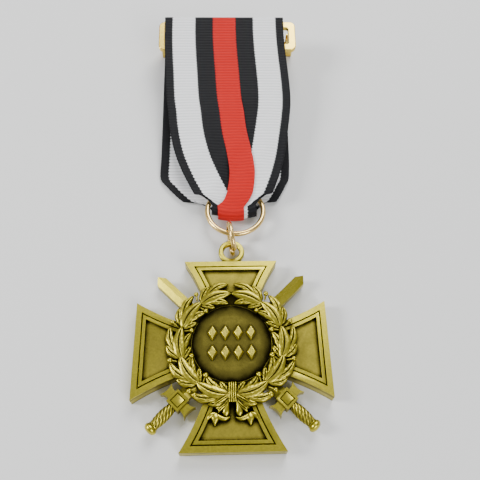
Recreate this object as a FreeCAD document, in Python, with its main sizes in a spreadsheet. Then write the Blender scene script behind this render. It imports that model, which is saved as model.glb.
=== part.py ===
import FreeCAD, Part
import Sketcher
import math
import os
import re

# A cross medal with swords and a wreath, hung from a folded ribbon on a pinned brooch.
# It lies face up: +X to the right of the face, +Y up the ribbon, +Z out of the face.
# The origin is the middle of the cross on its flat back.

os.makedirs("parts", exist_ok=True)
doc = FreeCAD.newDocument("Medal")
Vector = FreeCAD.Vector

# ------------------------------------------------------------------ sizes, mm and degrees
SIZES = [
    # cross
    ("cross_span", 37.0, "between the ends of opposite arms"),
    ("cross_thickness", 3.0, "back face to rim"),
    ("side_centre_out", 48.4, "centre of an arm's hollow side, across the arm"),
    ("side_centre_back", 5.95, "centre of an arm's hollow side, behind the middle of the cross"),
    ("side_radius", 46.0, "radius of an arm's hollow side"),
    ("arm_root", 8.6, "where an arm's sides end inside the hub"),
    ("rim_outer", 1.1, "flat outer rim"),
    ("groove_width", 0.25, "dark line between the rims"),
    ("groove_depth", 0.3, "dark line between the rims"),
    ("rim_inner", 0.6, "inner rim"),
    ("field_depth", 0.6, "sunk field of an arm"),
    ("field_root", 9.0, "inner edge of the sunk field"),
    ("hub_radius", 10.3, "round hub under the wreath"),
    ("wreath_rise", 1.0, "wreath centre above the middle of the cross"),
    # disc and its ornament
    ("disc_radius", 7.55, "disc inside the wreath"),
    ("disc_height", 0.25, "disc above the rim"),
    ("lozenge_pitch", 2.45, "between lozenges in a row"),
    ("lozenge_width", 1.9, "one lozenge"),
    ("lozenge_length", 3.0, "one lozenge"),
    ("lozenge_height", 0.35, "lozenge above the disc"),
    ("row_pitch", 3.9, "between the two rows"),
    # wreath
    ("wreath_inner", 7.65, "inner radius of the wreath's stem band"),
    ("wreath_band", 10.6, "outer radius of the wreath's stem band"),
    ("band_height", 0.5, "stem band above the rim"),
    ("leaf_radius", 9.75, "radius of the main leaves' middle line"),
    ("leaf_half_length", 2.85, "half a main leaf"),
    ("leaf_side_radius", 3.6, "radius of a leaf's two curved sides"),
    ("leaf_height", 1.15, "leaf above the rim"),
    ("leaf_pitch", 34.5, "angle between leaves"),
    ("first_leaf", 21.5, "angle from the tie to the middle of the first leaf"),
    ("branch_gap", 7.0, "angle from the tie to the end of a branch"),
    # tie and bow
    ("tie_width", 1.5, "binding round the wreath's foot"),
    ("tie_length", 3.5, "binding along the arm"),
    ("tie_height", 1.25, "binding above the rim"),
    ("tie_gap", 0.1, "binding to disc"),
    ("tie_groove", 0.12, "groove between the binding's cords"),
    ("bow_gap", 0.08, "bow to hub"),
    ("bow_half", 4.1, "half the spread of the bow's tails"),
    ("bow_length", 4.5, "knot to the ends of the tails"),
    ("bow_height", 1.2, "bow above the sunk field"),
    # swords
    ("sword_rise", 0.4, "crossing of the swords above the middle of the cross"),
    ("sword_base", 0.6, "back of the swords above the back of the cross"),
    ("sword_angle", 45.0, "from the cross's arm to the sword"),
    ("sword_gap", 0.05, "sword to the side of its channel"),
    ("blade_tip", 20.9, "crossing to the point"),
    ("blade_width", 2.3, "across a blade"),
    ("blade_side", 1.6, "height of a blade's edge"),
    ("blade_ridge", 2.15, "height of a blade's ridge"),
    ("guard_radius", 14.0, "crossing to the guard"),
    ("guard_block", 2.9, "square block of the guard"),
    ("guard_height", 2.2, "height of the guard"),
    ("guard_span", 6.3, "across the guard's wings"),
    ("guard_waist", 1.9, "wing's width at the block"),
    ("guard_flare", 2.9, "wing's width at its end"),
    ("guard_hollow", 3.0, "radius of the wing's hollow end"),
    ("guard_side", 2.0, "radius of the wing's hollow sides"),
    ("grip_radius", 1.15, "grip at the middle of its swell"),
    ("grip_taper", 0.28, "how much thinner the grip is at its ends"),
    ("grip_groove", 0.13, "depth of the grip's grooves"),
    ("grip_end", 19.9, "crossing to the end of the grip"),
    ("pommel_radius", 1.25, "pommel"),
    ("pommel_end", 21.3, "crossing to the end of the pommel"),
    # eyelet and rings
    ("eyelet_outer", 2.7, "outside radius"),
    ("eyelet_hole", 1.65, "hole radius"),
    ("eyelet_side", 0.2, "eyelet's centre to the right of the arm's middle"),
    ("eyelet_thickness", 1.2, "thickness"),
    ("eyelet_base", 1.3, "back of the eyelet above the back of the cross, clear of the jump ring's foot"),
    ("eyelet_bite", 0.1, "how far the eyelet is filed flat to sit on the arm"),
    ("jump_radius", 3.25, "jump ring, to the middle of its wire"),
    ("jump_wire", 0.5, "jump ring, wire radius"),
    ("jump_cut", 0.15, "cut between the wire's ends"),
    ("jump_turn", 8.0, "jump ring turned about the upright"),
    ("jump_offset", 0.25, "jump ring's wire to the right of the eyelet's centre"),
    ("loop_radius", 6.1, "ribbon ring, to the middle of its wire"),
    ("loop_wire", 0.55, "ribbon ring, wire radius"),
    ("loop_side", 1.2, "ribbon ring's centre to the right of the cross"),
    ("loop_lift", 2.45, "ribbon ring's centre above the table"),
    ("loop_tilt", 3.5, "ribbon ring's far side tipped down"),
    ("loop_hold", 1.95, "jump ring's centre to the wire of the ribbon ring"),
    # ribbon
    ("ribbon_width", 30.0, "ribbon, flat"),
    ("ribbon_thick", 0.6, "ribbon, as a solid"),
    ("ribbon_gap", 0.1, "between plies and against the frame"),
    ("ribbon_side", -0.8, "ribbon's middle at the frame, to the right of the cross"),
    ("gather_half", 7.3, "half the gathered width above the ring"),
    ("bight_half", 4.6, "half the width that passes through the ring"),
    ("bight_radius", 1.8, "fold through the ring, to the middle of the ribbon"),
    ("tail_lap", 9.0, "sewn end below the middle of the frame"),
    # brooch
    ("frame_length", 34.5, "brooch frame, across"),
    ("frame_height", 8.5, "brooch frame, up"),
    ("frame_strip", 1.8, "width of the frame's strip"),
    ("frame_thick", 1.2, "thickness of the frame"),
    ("frame_corner", 1.4, "outer corner radius"),
    ("frame_side", -0.05, "frame's middle to the right of the cross"),
    ("frame_reach", 61.3, "end of the upper arm to the frame's middle"),
    ("frame_tilt", 11.5, "frame tipped up with the ribbon"),
    ("leg_drop", 8.4, "back of the frame to the ends of the bracket and the catch"),
    ("foot_width", 1.95, "bracket and catch, along the frame"),
    ("neck_width", 1.2, "bracket and catch beside the ribbon, along the frame"),
    ("neck_drop", 2.6, "middle of the frame to where the bracket and the catch widen"),
    ("foot_half", 2.1, "half of a foot pad's height"),
    ("foot_thick", 0.8, "foot pad"),
    ("cheek_inner", 0.75, "half the slot for the needle's eye"),
    ("cheek_thick", 0.7, "bracket's cheek"),
    ("needle_depth", 5.0, "middle of the frame to the needle"),
    ("needle_up", 2.1, "needle above the middle of the frame"),
    ("needle_wire", 0.5, "needle's radius"),
    ("needle_point", 2.4, "length of the needle's taper"),
    ("needle_short", 0.3, "needle's end inside the frame's end"),
    ("eye_radius", 1.4, "needle's eye, outside"),
    ("eye_half", 0.55, "half the eye's thickness"),
    ("rivet_radius", 0.6, "hinge rivet"),
    ("rivet_head", 1.0, "hinge rivet's head"),
    ("rivet_head_thick", 0.3, "hinge rivet's head"),
    ("rivet_gap", 0.05, "running clearance on the rivet"),
    ("rivet_seat", 0.01, "rivet to the holes of its cheeks"),
    ("catch_inner", 0.65, "half the catch's slot"),
    ("catch_thick", 0.5, "spring leaf of the catch"),
    ("stitch_length", 1.5, "one stitch"),
    ("stitch_thick", 0.35, "thread"),
    ("stitch_space", 0.9, "gap between stitches"),
]
STITCHES = 12
GRIP_RIDGES = 6
TIE_CORDS = 4

sheet = doc.addObject("Spreadsheet::Sheet", "Sizes")
for row, (word, number, note) in enumerate(SIZES, start=1):
    sheet.set(f"A{row}", note)
    sheet.set(f"B{row}", str(number))
    sheet.setAlias(f"B{row}", word)
doc.recompute()
WORDS = {word for word, number, note in SIZES}


def size(word):
    """A driving size, read back from the sheet."""
    return float(sheet.get(word))


def bound(text):
    """An expression in which every word of the sheet points at its cell."""
    return re.sub(r"[a-z][a-z_]+", lambda hit: f"Sizes.{hit[0]}" if hit[0] in WORDS else hit[0], text)


def number_of(text):
    """The value that an expression has now, for a sketch's first drawing."""
    return float(sheet.evalExpression(text))


# ------------------------------------------------------------------ ways of drawing
def new_body(name):
    """An empty body whose label names its file."""
    body = doc.addObject("PartDesign::Body", name)
    body.Label = name
    return body


def origin_of(body, role):
    """One of a body's own origin planes or axes."""
    return next(feature for feature in body.Origin.OriginFeatures if feature.Role == role)


def new_sketch(body, name, height="0", role="XY_Plane", turn=0.0):
    """A sketch on an origin plane of its body, lifted by an expression and turned in its plane."""
    sketch = body.newObject("Sketcher::SketchObject", name)
    sketch.AttachmentSupport = (origin_of(body, role), "")
    sketch.MapMode = "FlatFace"
    sketch.AttachmentOffset = FreeCAD.Placement(Vector(), FreeCAD.Rotation(Vector(0, 0, 1), turn))
    sketch.setExpression("AttachmentOffset.Base.z", bound(height))
    return sketch


def hold_point(sketch, edge, end, x_text, y_text):
    """Holds one end of an edge at a place given by two expressions."""
    for kind, text in (("DistanceX", x_text), ("DistanceY", y_text)):
        index = sketch.addConstraint(Sketcher.Constraint(kind, -1, 1, edge, end, number_of(text)))
        sketch.setExpression(f"Constraints[{index}]", bound(text))


def hold_radius(sketch, edge, text):
    """Gives an arc or circle the radius of an expression."""
    index = sketch.addConstraint(Sketcher.Constraint("Radius", edge, number_of(text)))
    sketch.setExpression(f"Constraints[{index}]", bound(text))


def draw_outline(sketch, corners, curves=None):
    """A closed outline. Corners are (x, y) expressions. curves gives a side, by its number, a radius
    expression and +1 to bulge to the right of the way it is drawn or -1 to the left."""
    curves = curves or {}
    places = [Vector(number_of(x), number_of(y), 0) for x, y in corners]
    ends = []
    for side, start in enumerate(places):
        stop = places[(side + 1) % len(places)]
        if side in curves:
            radius = number_of(curves[side][0])
            half = (stop - start).Length / 2
            rise = radius - math.sqrt(radius ** 2 - half ** 2)
            across = (stop - start).cross(Vector(0, 0, 1)).normalize()
            middle = (start + stop) / 2 + across * rise * curves[side][1]
            edge = sketch.addGeometry(Part.Arc(start, middle, stop), False)
            forward = sketch.getPoint(edge, 1).distanceToPoint(start) < 1e-6
            hold_radius(sketch, edge, curves[side][0])
        else:
            edge = sketch.addGeometry(Part.LineSegment(start, stop), False)
            forward = True
        ends.append((edge, 1, 2) if forward else (edge, 2, 1))
    for side, (edge, first, last) in enumerate(ends):
        next_edge, next_first, next_last = ends[(side + 1) % len(ends)]
        sketch.addConstraint(Sketcher.Constraint("Coincident", edge, last, next_edge, next_first))
        hold_point(sketch, edge, first, *corners[side])


def draw_box(sketch, left, right, low, high):
    """A rectangle between four expressions."""
    draw_outline(sketch, [(left, low), (right, low), (right, high), (left, high)])


def draw_circle(sketch, x_text, y_text, radius_text):
    """A circle about a place given by two expressions."""
    centre = Vector(number_of(x_text), number_of(y_text), 0)
    edge = sketch.addGeometry(Part.Circle(centre, Vector(0, 0, 1), number_of(radius_text)), False)
    hold_radius(sketch, edge, radius_text)
    hold_point(sketch, edge, 3, x_text, y_text)


def extrude(body, sketch, name, length, kind="Pad", backwards=False):
    """Pads or pockets a sketch by an expression."""
    feature = body.newObject(f"PartDesign::{kind}", name)
    feature.Profile = sketch
    feature.setExpression("Length", bound(length))
    feature.Reversed = backwards
    sketch.Visibility = False
    return feature


def turn_round(body, features, name, count, angle=360.0):
    """Repeats features about the body's Z axis."""
    pattern = body.newObject("PartDesign::PolarPattern", name)
    pattern.Originals = features
    pattern.Axis = (origin_of(body, "Z_Axis"), [""])
    pattern.Angle = angle
    pattern.Occurrences = count
    body.Tip = pattern
    return pattern


def place(piece, x="0", y="0", z="0", rotation=None):
    """Puts a piece at a place given by expressions, turned by a rotation."""
    piece.Placement = FreeCAD.Placement(Vector(), rotation or FreeCAD.Rotation())
    for axis, text in (("x", x), ("y", y), ("z", z)):
        piece.setExpression(f"Placement.Base.{axis}", bound(text))


# ------------------------------------------------------------------ cross
def draw_arm(sketch, inset, root):
    """The upper arm's outline, moved inwards by an expression. Its sides are hollow arcs."""
    top = f"cross_span / 2 - ({inset})"
    radius = f"side_radius + ({inset})"

    def side_x(height):
        return f"side_centre_out - sqrt(({radius})^2 - ({height} + side_centre_back)^2)"

    corners = [(side_x(root), root), (side_x(top), top),
               (f"-({side_x(top)})", top), (f"-({side_x(root)})", root)]
    draw_outline(sketch, corners, {0: (radius, -1), 2: (radius, -1)})


def make_cross_plate():
    """Four flared arms with two rims and a sunk field each, on a round hub cut for the swords."""
    body = new_body("cross_plate")
    arm = new_sketch(body, "ArmOutline")
    draw_arm(arm, "0", "arm_root")
    arm_pad = extrude(body, arm, "Arm", "cross_thickness")
    turn_round(body, [arm_pad], "Arms", 4)
    field = new_sketch(body, "FieldOutline", "cross_thickness")
    draw_arm(field, "rim_outer + groove_width + rim_inner", "field_root")
    hub = new_sketch(body, "HubOutline")
    draw_circle(hub, "0", "wreath_rise", "hub_radius")
    extrude(body, hub, "Hub", "cross_thickness")
    doc.recompute()
    field_cut = extrude(body, field, "Field", "field_depth", "Pocket")
    turn_round(body, [field_cut], "Fields", 4)
    groove = new_sketch(body, "GrooveOutline", "cross_thickness")
    draw_arm(groove, "rim_outer", "field_root - rim_inner - groove_width")
    draw_arm(groove, "rim_outer + groove_width", "field_root - rim_inner")
    groove_cut = extrude(body, groove, "Groove", "groove_depth", "Pocket")
    turn_round(body, [groove_cut], "Grooves", 4)
    cover = new_sketch(body, "CoverOutline")
    draw_circle(cover, "0", "wreath_rise", "hub_radius")
    extrude(body, cover, "HubTop", "cross_thickness")
    half = "(blade_width / 2 + sword_gap)"
    reach = "(hub_radius + blade_width)"
    for name, turn in (("ChannelRight", size("sword_angle")), ("ChannelLeft", -size("sword_angle"))):
        slot = new_sketch(body, name + "Outline", "cross_thickness", turn=turn)
        slot.setExpression("AttachmentOffset.Base.y", bound("sword_rise"))
        draw_box(slot, f"-{reach}", reach, f"-{half}", half)
        extrude(body, slot, name, "cross_thickness - sword_base", "Pocket")
    return body


def make_centre_disc():
    """The disc inside the wreath, with two rows of four plain lozenges."""
    body = new_body("centre_disc")
    face = new_sketch(body, "DiscOutline")
    draw_circle(face, "0", "0", "disc_radius")
    extrude(body, face, "Disc", "disc_height")
    marks = new_sketch(body, "Lozenges", "disc_height")
    for row in (-0.5, 0.5):
        for column in (-1.5, -0.5, 0.5, 1.5):
            x = f"{column} * lozenge_pitch"
            y = f"{row} * row_pitch"
            draw_outline(marks, [
                (f"{x} - lozenge_width / 2", y),
                (x, f"{y} - lozenge_length / 2"),
                (f"{x} + lozenge_width / 2", y),
                (x, f"{y} + lozenge_length / 2"),
            ])
    extrude(body, marks, "LozengePad", "lozenge_height")
    place(body, y="wreath_rise", z="cross_thickness")
    return body


# ------------------------------------------------------------------ wreath, tie and bow
def make_wreath_branch(name, hand):
    """Half the wreath: a stem band with five leaves. hand is +1 for the right branch, -1 for the left."""
    body = new_body(name)
    band = new_sketch(body, "BandOutline")
    low = "(branch_gap - 90)"
    points = [
        (f"{hand} * wreath_inner * cos{low}", f"wreath_inner * sin{low}"),
        (f"{hand} * wreath_band * cos{low}", f"wreath_band * sin{low}"),
        (f"{hand} * wreath_band * cos(4)", "wreath_band * sin(4)"),
        (f"{hand} * wreath_band * cos(88)", "wreath_band * sin(88)"),
        (f"{hand} * wreath_inner * cos(88)", "wreath_inner * sin(88)"),
        (f"{hand} * wreath_inner * cos(4)", "wreath_inner * sin(4)"),
    ]
    outside = ("wreath_band", hand)
    inside = ("wreath_inner", -hand)
    draw_outline(band, points, {1: outside, 2: outside, 4: inside, 5: inside})
    extrude(body, band, "Band", "band_height")
    leaf = new_sketch(body, "LeafOutline", turn=hand * size("first_leaf"))
    base = (f"-{hand} * leaf_half_length", "-leaf_radius")
    point = (f"{hand} * leaf_half_length", "-leaf_radius")
    draw_outline(leaf, [base, point], {0: ("leaf_side_radius", hand), 1: ("leaf_side_radius", hand)})
    leaf_pad = extrude(body, leaf, "Leaf", "leaf_height")
    pattern = turn_round(body, [leaf_pad], "Leaves", 5)
    pattern.setExpression("Angle", bound("4 * leaf_pitch"))
    pattern.Reversed = hand < 0
    place(body, y="wreath_rise", z="cross_thickness")
    return body


def make_wreath_tie():
    """The cord binding at the foot of the wreath, with a groove between its turns."""
    body = new_body("wreath_binding")
    outline = new_sketch(body, "TieOutline")
    high = "(-disc_radius - tie_gap)"
    draw_box(outline, "-tie_width / 2", "tie_width / 2", f"{high} - tie_length", high)
    extrude(body, outline, "Tie", "tie_height")
    lines = new_sketch(body, "TieLines", "tie_height")
    for line in range(1, TIE_CORDS):
        middle = f"({line / TIE_CORDS - 0.5} * tie_width)"
        left, right = f"{middle} - tie_groove / 2", f"{middle} + tie_groove / 2"
        draw_box(lines, left, right, f"{high} - tie_length", high)
    extrude(body, lines, "TieGrooves", "tie_groove", "Pocket")
    place(body, y="wreath_rise", z="cross_thickness")
    return body


def make_wreath_bow():
    """The ribbon bow below the wreath: two tails with notched ends, lying in the lower arm's field."""
    body = new_body("wreath_bow")
    outline = new_sketch(body, "BowOutline")
    top = "(-hub_radius - bow_gap)"
    tips = [
        ("-tie_width / 2", top),
        ("-bow_half", f"{top} - 0.72 * bow_length"),
        ("-0.72 * bow_half", f"{top} - 0.78 * bow_length"),
        ("-0.55 * bow_half", f"{top} - bow_length"),
        ("-0.22 * bow_half", f"{top} - 0.62 * bow_length"),
        ("0.22 * bow_half", f"{top} - 0.62 * bow_length"),
        ("0.55 * bow_half", f"{top} - bow_length"),
        ("0.72 * bow_half", f"{top} - 0.78 * bow_length"),
        ("bow_half", f"{top} - 0.72 * bow_length"),
        ("tie_width / 2", top),
    ]
    draw_outline(outline, tips)
    extrude(body, outline, "Bow", "bow_height")
    seat = new_sketch(body, "TieSeat", "bow_height")
    half = "(tie_width / 2 + bow_gap)"
    draw_box(seat, f"-{half}", half, "-disc_radius - tie_gap - tie_length - bow_gap", "-disc_radius")
    extrude(body, seat, "Seat", "bow_height - field_depth", "Pocket")
    place(body, y="wreath_rise", z="cross_thickness - field_depth")
    return body


# ------------------------------------------------------------------ swords
def make_sword(name, angle, lap_from_below):
    """A sword along its own X axis, halved where it crosses the other one."""
    body = new_body(name)
    blade = new_sketch(body, "BladeSection", "-guard_radius", "YZ_Plane")
    draw_outline(blade, [
        ("-blade_width / 2", "0"),
        ("blade_width / 2", "0"),
        ("blade_width / 2", "blade_side"),
        ("0", "blade_ridge"),
        ("-blade_width / 2", "blade_side"),
    ])
    extrude(body, blade, "Blade", "guard_radius + blade_tip")
    beyond = "(blade_width / 2 + 0.5)"
    point = new_sketch(body, "PointOutline", "guard_height + 1")
    draw_outline(point, [
        ("blade_tip", "0"),
        (f"blade_tip - {beyond}", beyond),
        ("blade_tip + 1", beyond),
        ("blade_tip + 1", f"-{beyond}"),
        (f"blade_tip - {beyond}", f"-{beyond}"),
    ])
    extrude(body, point, "Point", "guard_height + 2", "Pocket")
    block = new_sketch(body, "BlockOutline")
    draw_box(block, "-guard_radius - guard_block / 2", "-guard_radius + guard_block / 2",
             "-guard_block / 2", "guard_block / 2")
    extrude(body, block, "Block", "guard_height")
    for side, word in ((1, "Left"), (-1, "Right")):
        wing = new_sketch(body, f"Wing{word}Outline")
        inner = f"({side} * (guard_block / 2 - 0.2))"
        outer = f"({side} * guard_span / 2)"
        draw_outline(wing, [
            ("-guard_radius - guard_waist / 2", inner),
            ("-guard_radius + guard_waist / 2", inner),
            ("-guard_radius + guard_flare / 2", outer),
            ("-guard_radius - guard_flare / 2", outer),
        ], {1: ("guard_side", -side), 2: ("guard_hollow", -side), 3: ("guard_side", -side)})
        extrude(body, wing, f"Wing{word}", "0.85 * guard_height")
    line = new_sketch(body, "SquareLine", "guard_height")
    for half in ("(0.35 * guard_block)", "(0.28 * guard_block)"):
        draw_box(line, f"-guard_radius - {half}", f"-guard_radius + {half}", f"-{half}", half)
    extrude(body, line, "Line", "0.1 * guard_height", "Pocket")
    hilt = new_sketch(body, "HiltProfile", "pommel_radius")
    start = "guard_radius + guard_block / 2 - 0.2"
    pitch = f"(grip_end - ({start})) / {GRIP_RIDGES}"
    profile = [(f"-({start})", "0.01"), (f"-({start})", "grip_radius - grip_taper - grip_groove")]
    for half_ridge in range(1, 2 * GRIP_RIDGES + 1):
        off_middle = (half_ridge / GRIP_RIDGES - 1) ** 2
        groove = "0" if half_ridge % 2 else "grip_groove"
        profile.append((f"-({start} + {half_ridge / 2} * {pitch})",
                        f"grip_radius - {off_middle:.4f} * grip_taper - {groove}"))
    profile.append(("-(grip_end + 0.15)", "pommel_radius"))
    profile.append(("-(pommel_end - 0.45)", "pommel_radius"))
    profile.append(("-pommel_end", "0.45 * pommel_radius"))
    profile.append(("-pommel_end", "0.01"))
    draw_outline(hilt, profile)
    handle = body.newObject("PartDesign::Revolution", "Hilt")
    handle.Profile = hilt
    handle.ReferenceAxis = (hilt, ["H_Axis"])
    handle.Angle = 360.0
    lap = new_sketch(body, "LapOutline", "0" if lap_from_below else "guard_height + 1")
    draw_box(lap, "-blade_width / 2 - sword_gap", "blade_width / 2 + sword_gap", f"-{beyond}", beyond)
    half = "(blade_ridge / 2 + sword_gap / 2)"
    depth = half if lap_from_below else f"guard_height + 1 - blade_ridge + {half}"
    extrude(body, lap, "Lap", depth, "Pocket", backwards=lap_from_below)
    place(body, y="sword_rise", z="sword_base", rotation=FreeCAD.Rotation(Vector(0, 0, 1), angle))
    return body


# ------------------------------------------------------------------ eyelet and rings
EYELET_Y = "(cross_span / 2 + eyelet_outer - eyelet_bite)"
# the jump ring stands on the table and passes through the eyelet half way up the cross's edge
JUMP_Z = "(jump_radius + jump_wire)"
JUMP_LEAN = f"sqrt(jump_radius^2 - ({JUMP_Z} - cross_thickness / 2)^2)"
JUMP_X = f"(eyelet_side + jump_offset - {JUMP_LEAN} * sin(jump_turn))"
JUMP_Y = f"({EYELET_Y} + {JUMP_LEAN} * cos(jump_turn))"
# the near wire of the ribbon ring lies in the jump ring, a little below its middle
LOOP_FOOT_Z = "(loop_lift + loop_radius * sin(loop_tilt))"
LOOP_FOOT_Y = f"({JUMP_Y} + sqrt(loop_hold^2 - ({JUMP_Z} - {LOOP_FOOT_Z})^2))"
LOOP_Y = f"({LOOP_FOOT_Y} + loop_radius * cos(loop_tilt))"


def make_eyelet():
    """A flat ring filed flat where it is soldered to the end of the upper arm."""
    body = new_body("eyelet")
    outline = new_sketch(body, "EyeletOutline")
    draw_circle(outline, "0", "0", "eyelet_outer")
    draw_circle(outline, "0", "0", "eyelet_hole")
    extrude(body, outline, "Ring", "eyelet_thickness")
    flat = new_sketch(body, "EyeletFlat", "eyelet_thickness")
    draw_box(flat, "-eyelet_outer", "eyelet_outer", "-eyelet_outer - 1", "-eyelet_outer + eyelet_bite")
    extrude(body, flat, "Flat", "eyelet_thickness", "Pocket")
    place(body, x="eyelet_side", y=EYELET_Y, z="eyelet_base")
    return body


def make_wire_ring(name, radius, wire, cut):
    """A ring bent from round wire, with a straight cut between its ends."""
    ring = doc.addObject("Part::Torus", name + "_wire")
    ring.setExpression("Radius1", bound(radius))
    ring.setExpression("Radius2", bound(wire))
    gap = doc.addObject("Part::Box", name + "_gap")
    gap.setExpression("Length", bound(cut))
    gap.setExpression("Width", bound(f"4 * {wire}"))
    gap.setExpression("Height", bound(f"4 * {wire}"))
    gap.setExpression("Placement.Base.x", bound(f"-{cut} / 2"))
    gap.setExpression("Placement.Base.y", bound(f"{radius} - 2 * {wire}"))
    gap.setExpression("Placement.Base.z", bound(f"-2 * {wire}"))
    split = doc.addObject("Part::Cut", name)
    split.Base = ring
    split.Tool = gap
    split.Label = name
    return split


def make_jump_ring():
    """The small ring that stands on edge and joins the eyelet to the ribbon ring."""
    ring = make_wire_ring("jump_ring", "jump_radius", "jump_wire", "jump_cut")
    upright = FreeCAD.Rotation(Vector(0, 1, 0), 90)
    cut_up = FreeCAD.Rotation(Vector(1, 0, 0), 75)
    yaw = FreeCAD.Rotation(Vector(0, 0, 1), size("jump_turn"))
    place(ring, x=JUMP_X, y=JUMP_Y, z=JUMP_Z, rotation=yaw.multiply(cut_up).multiply(upright))
    return ring


def make_ribbon_ring():
    """The large ring through the ribbon's fold; its cut is hidden between the plies."""
    ring = make_wire_ring("ribbon_ring", "loop_radius", "loop_wire", "jump_cut")
    tipped = FreeCAD.Rotation(Vector(1, 0, 0), -size("loop_tilt"))
    place(ring, x="loop_side", y=LOOP_Y, z="loop_lift", rotation=tipped)
    return ring


# ------------------------------------------------------------------ brooch
FRAME_Y = "(cross_span / 2 + frame_reach)"
LEG_RISE = "(frame_thick / 2 + leg_drop) * cos(frame_tilt)"
FRAME_Z = f"({LEG_RISE} + (cheek_inner + cheek_thick - needle_up) * sin(frame_tilt))"
FOOT_END = "(frame_length / 2)"


def place_on_frame(piece):
    """Puts a piece drawn in the frame's own plane where the tipped frame is."""
    tipped = FreeCAD.Rotation(Vector(1, 0, 0), size("frame_tilt"))
    place(piece, x="frame_side", y=FRAME_Y, z=FRAME_Z, rotation=tipped)


def draw_rounded_box(sketch, half_x, half_y, radius):
    """A rectangle about the origin with round corners."""
    corners = []
    curves = {}
    for right, up in ((1, -1), (1, 1), (-1, 1), (-1, -1)):
        pulled_x = (f"{right} * ({half_x} - {radius})", f"{up} * {half_y}")
        pulled_y = (f"{right} * {half_x}", f"{up} * ({half_y} - {radius})")
        corners += [pulled_x, pulled_y] if right * up < 0 else [pulled_y, pulled_x]
        curves[len(corners) - 2] = (radius, 1)
    draw_outline(sketch, corners, curves)


def make_brooch_frame():
    """The flat brass frame that the ribbon is folded over."""
    body = new_body("brooch_frame")
    outline = new_sketch(body, "FrameOutline", "-frame_thick / 2")
    draw_rounded_box(outline, "(frame_length / 2)", "(frame_height / 2)", "frame_corner")
    draw_rounded_box(outline, "(frame_length / 2 - frame_strip)", "(frame_height / 2 - frame_strip)",
                     "(frame_corner / 3)")
    extrude(body, outline, "Frame", "frame_thick")
    place_on_frame(body)
    return body


def make_foot(name, end, slot_half, leaf):
    """A foot pad on the frame's back with two upright plates that leave a slot between them. The plates are
    narrow beside the ribbon and wide below it. end is -1 at the hinge and +1 at the catch."""
    body = new_body(name)
    outer = f"({end} * {FOOT_END})"
    neck = f"({end} * ({FOOT_END} - neck_width))"
    inner = f"({end} * ({FOOT_END} - foot_width))"
    pad = new_sketch(body, "PadOutline", "-frame_thick / 2 - foot_thick")
    low, high = "needle_up - foot_half", "needle_up + foot_half"
    draw_outline(pad, [(neck, low), (outer, low), (outer, high), (neck, high)])
    extrude(body, pad, "FootPad", "foot_thick")
    top = "-frame_thick / 2 - foot_thick / 2"
    end_z = "-frame_thick / 2 - leg_drop"
    for word, far in (("Upper", f"needle_up + {slot_half} + {leaf}"), ("Lower", f"needle_up - {slot_half}")):
        plate = new_sketch(body, f"{word}Outline", f"-({far})", "XZ_Plane")
        draw_outline(plate, [(outer, top), (neck, top), (neck, "-neck_drop"), (inner, "-neck_drop"),
                             (inner, end_z), (outer, end_z)])
        extrude(body, plate, word, leaf)
    return body


def make_hinge_bracket():
    """The needle's hinge bracket: two cheeks with a hole for the rivet."""
    body = make_foot("hinge_bracket", -1, "cheek_inner", "cheek_thick")
    hole = new_sketch(body, "RivetHole", "foot_half + 1 - needle_up", "XZ_Plane")
    draw_circle(hole, f"-({FOOT_END} - foot_width / 2)", "-needle_depth", "rivet_radius + rivet_seat")
    extrude(body, hole, "Hole", "2 * foot_half + 2", "Pocket")
    place_on_frame(body)
    return body


def make_needle_catch():
    """The catch: two spring leaves that the needle's point is pressed between."""
    body = make_foot("needle_catch", 1, "catch_inner", "catch_thick")
    place_on_frame(body)
    return body


def new_cylinder(name, radius, length, x, y, z, rotation):
    """A cylinder that starts at a place given by expressions."""
    rod = doc.addObject("Part::Cylinder", name)
    rod.setExpression("Radius", bound(radius))
    rod.setExpression("Height", bound(length))
    place(rod, x, y, z, rotation)
    return rod


ALONG_Y = FreeCAD.Rotation(Vector(1, 0, 0), -90)
ALONG_X = FreeCAD.Rotation(Vector(0, 1, 0), 90)
PIVOT_X = f"(-({FOOT_END} - foot_width / 2))"


def make_hinge_rivet():
    """The rivet through both cheeks, with a head at each end."""
    half = "(cheek_inner + cheek_thick)"
    low_y, high_y = f"needle_up - {half}", f"needle_up + {half}"
    shank = new_cylinder("rivet_shank", "rivet_radius", f"2 * {half}",
                         PIVOT_X, low_y, "-needle_depth", ALONG_Y)
    low = new_cylinder("rivet_low", "rivet_head", "rivet_head_thick", PIVOT_X,
                       f"{low_y} - rivet_head_thick", "-needle_depth", ALONG_Y)
    high = new_cylinder("rivet_high", "rivet_head", "rivet_head_thick",
                        PIVOT_X, high_y, "-needle_depth", ALONG_Y)
    rivet = doc.addObject("Part::MultiFuse", "hinge_rivet")
    rivet.Shapes = [shank, low, high]
    rivet.Label = "hinge_rivet"
    place_on_frame(rivet)
    return rivet


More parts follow.
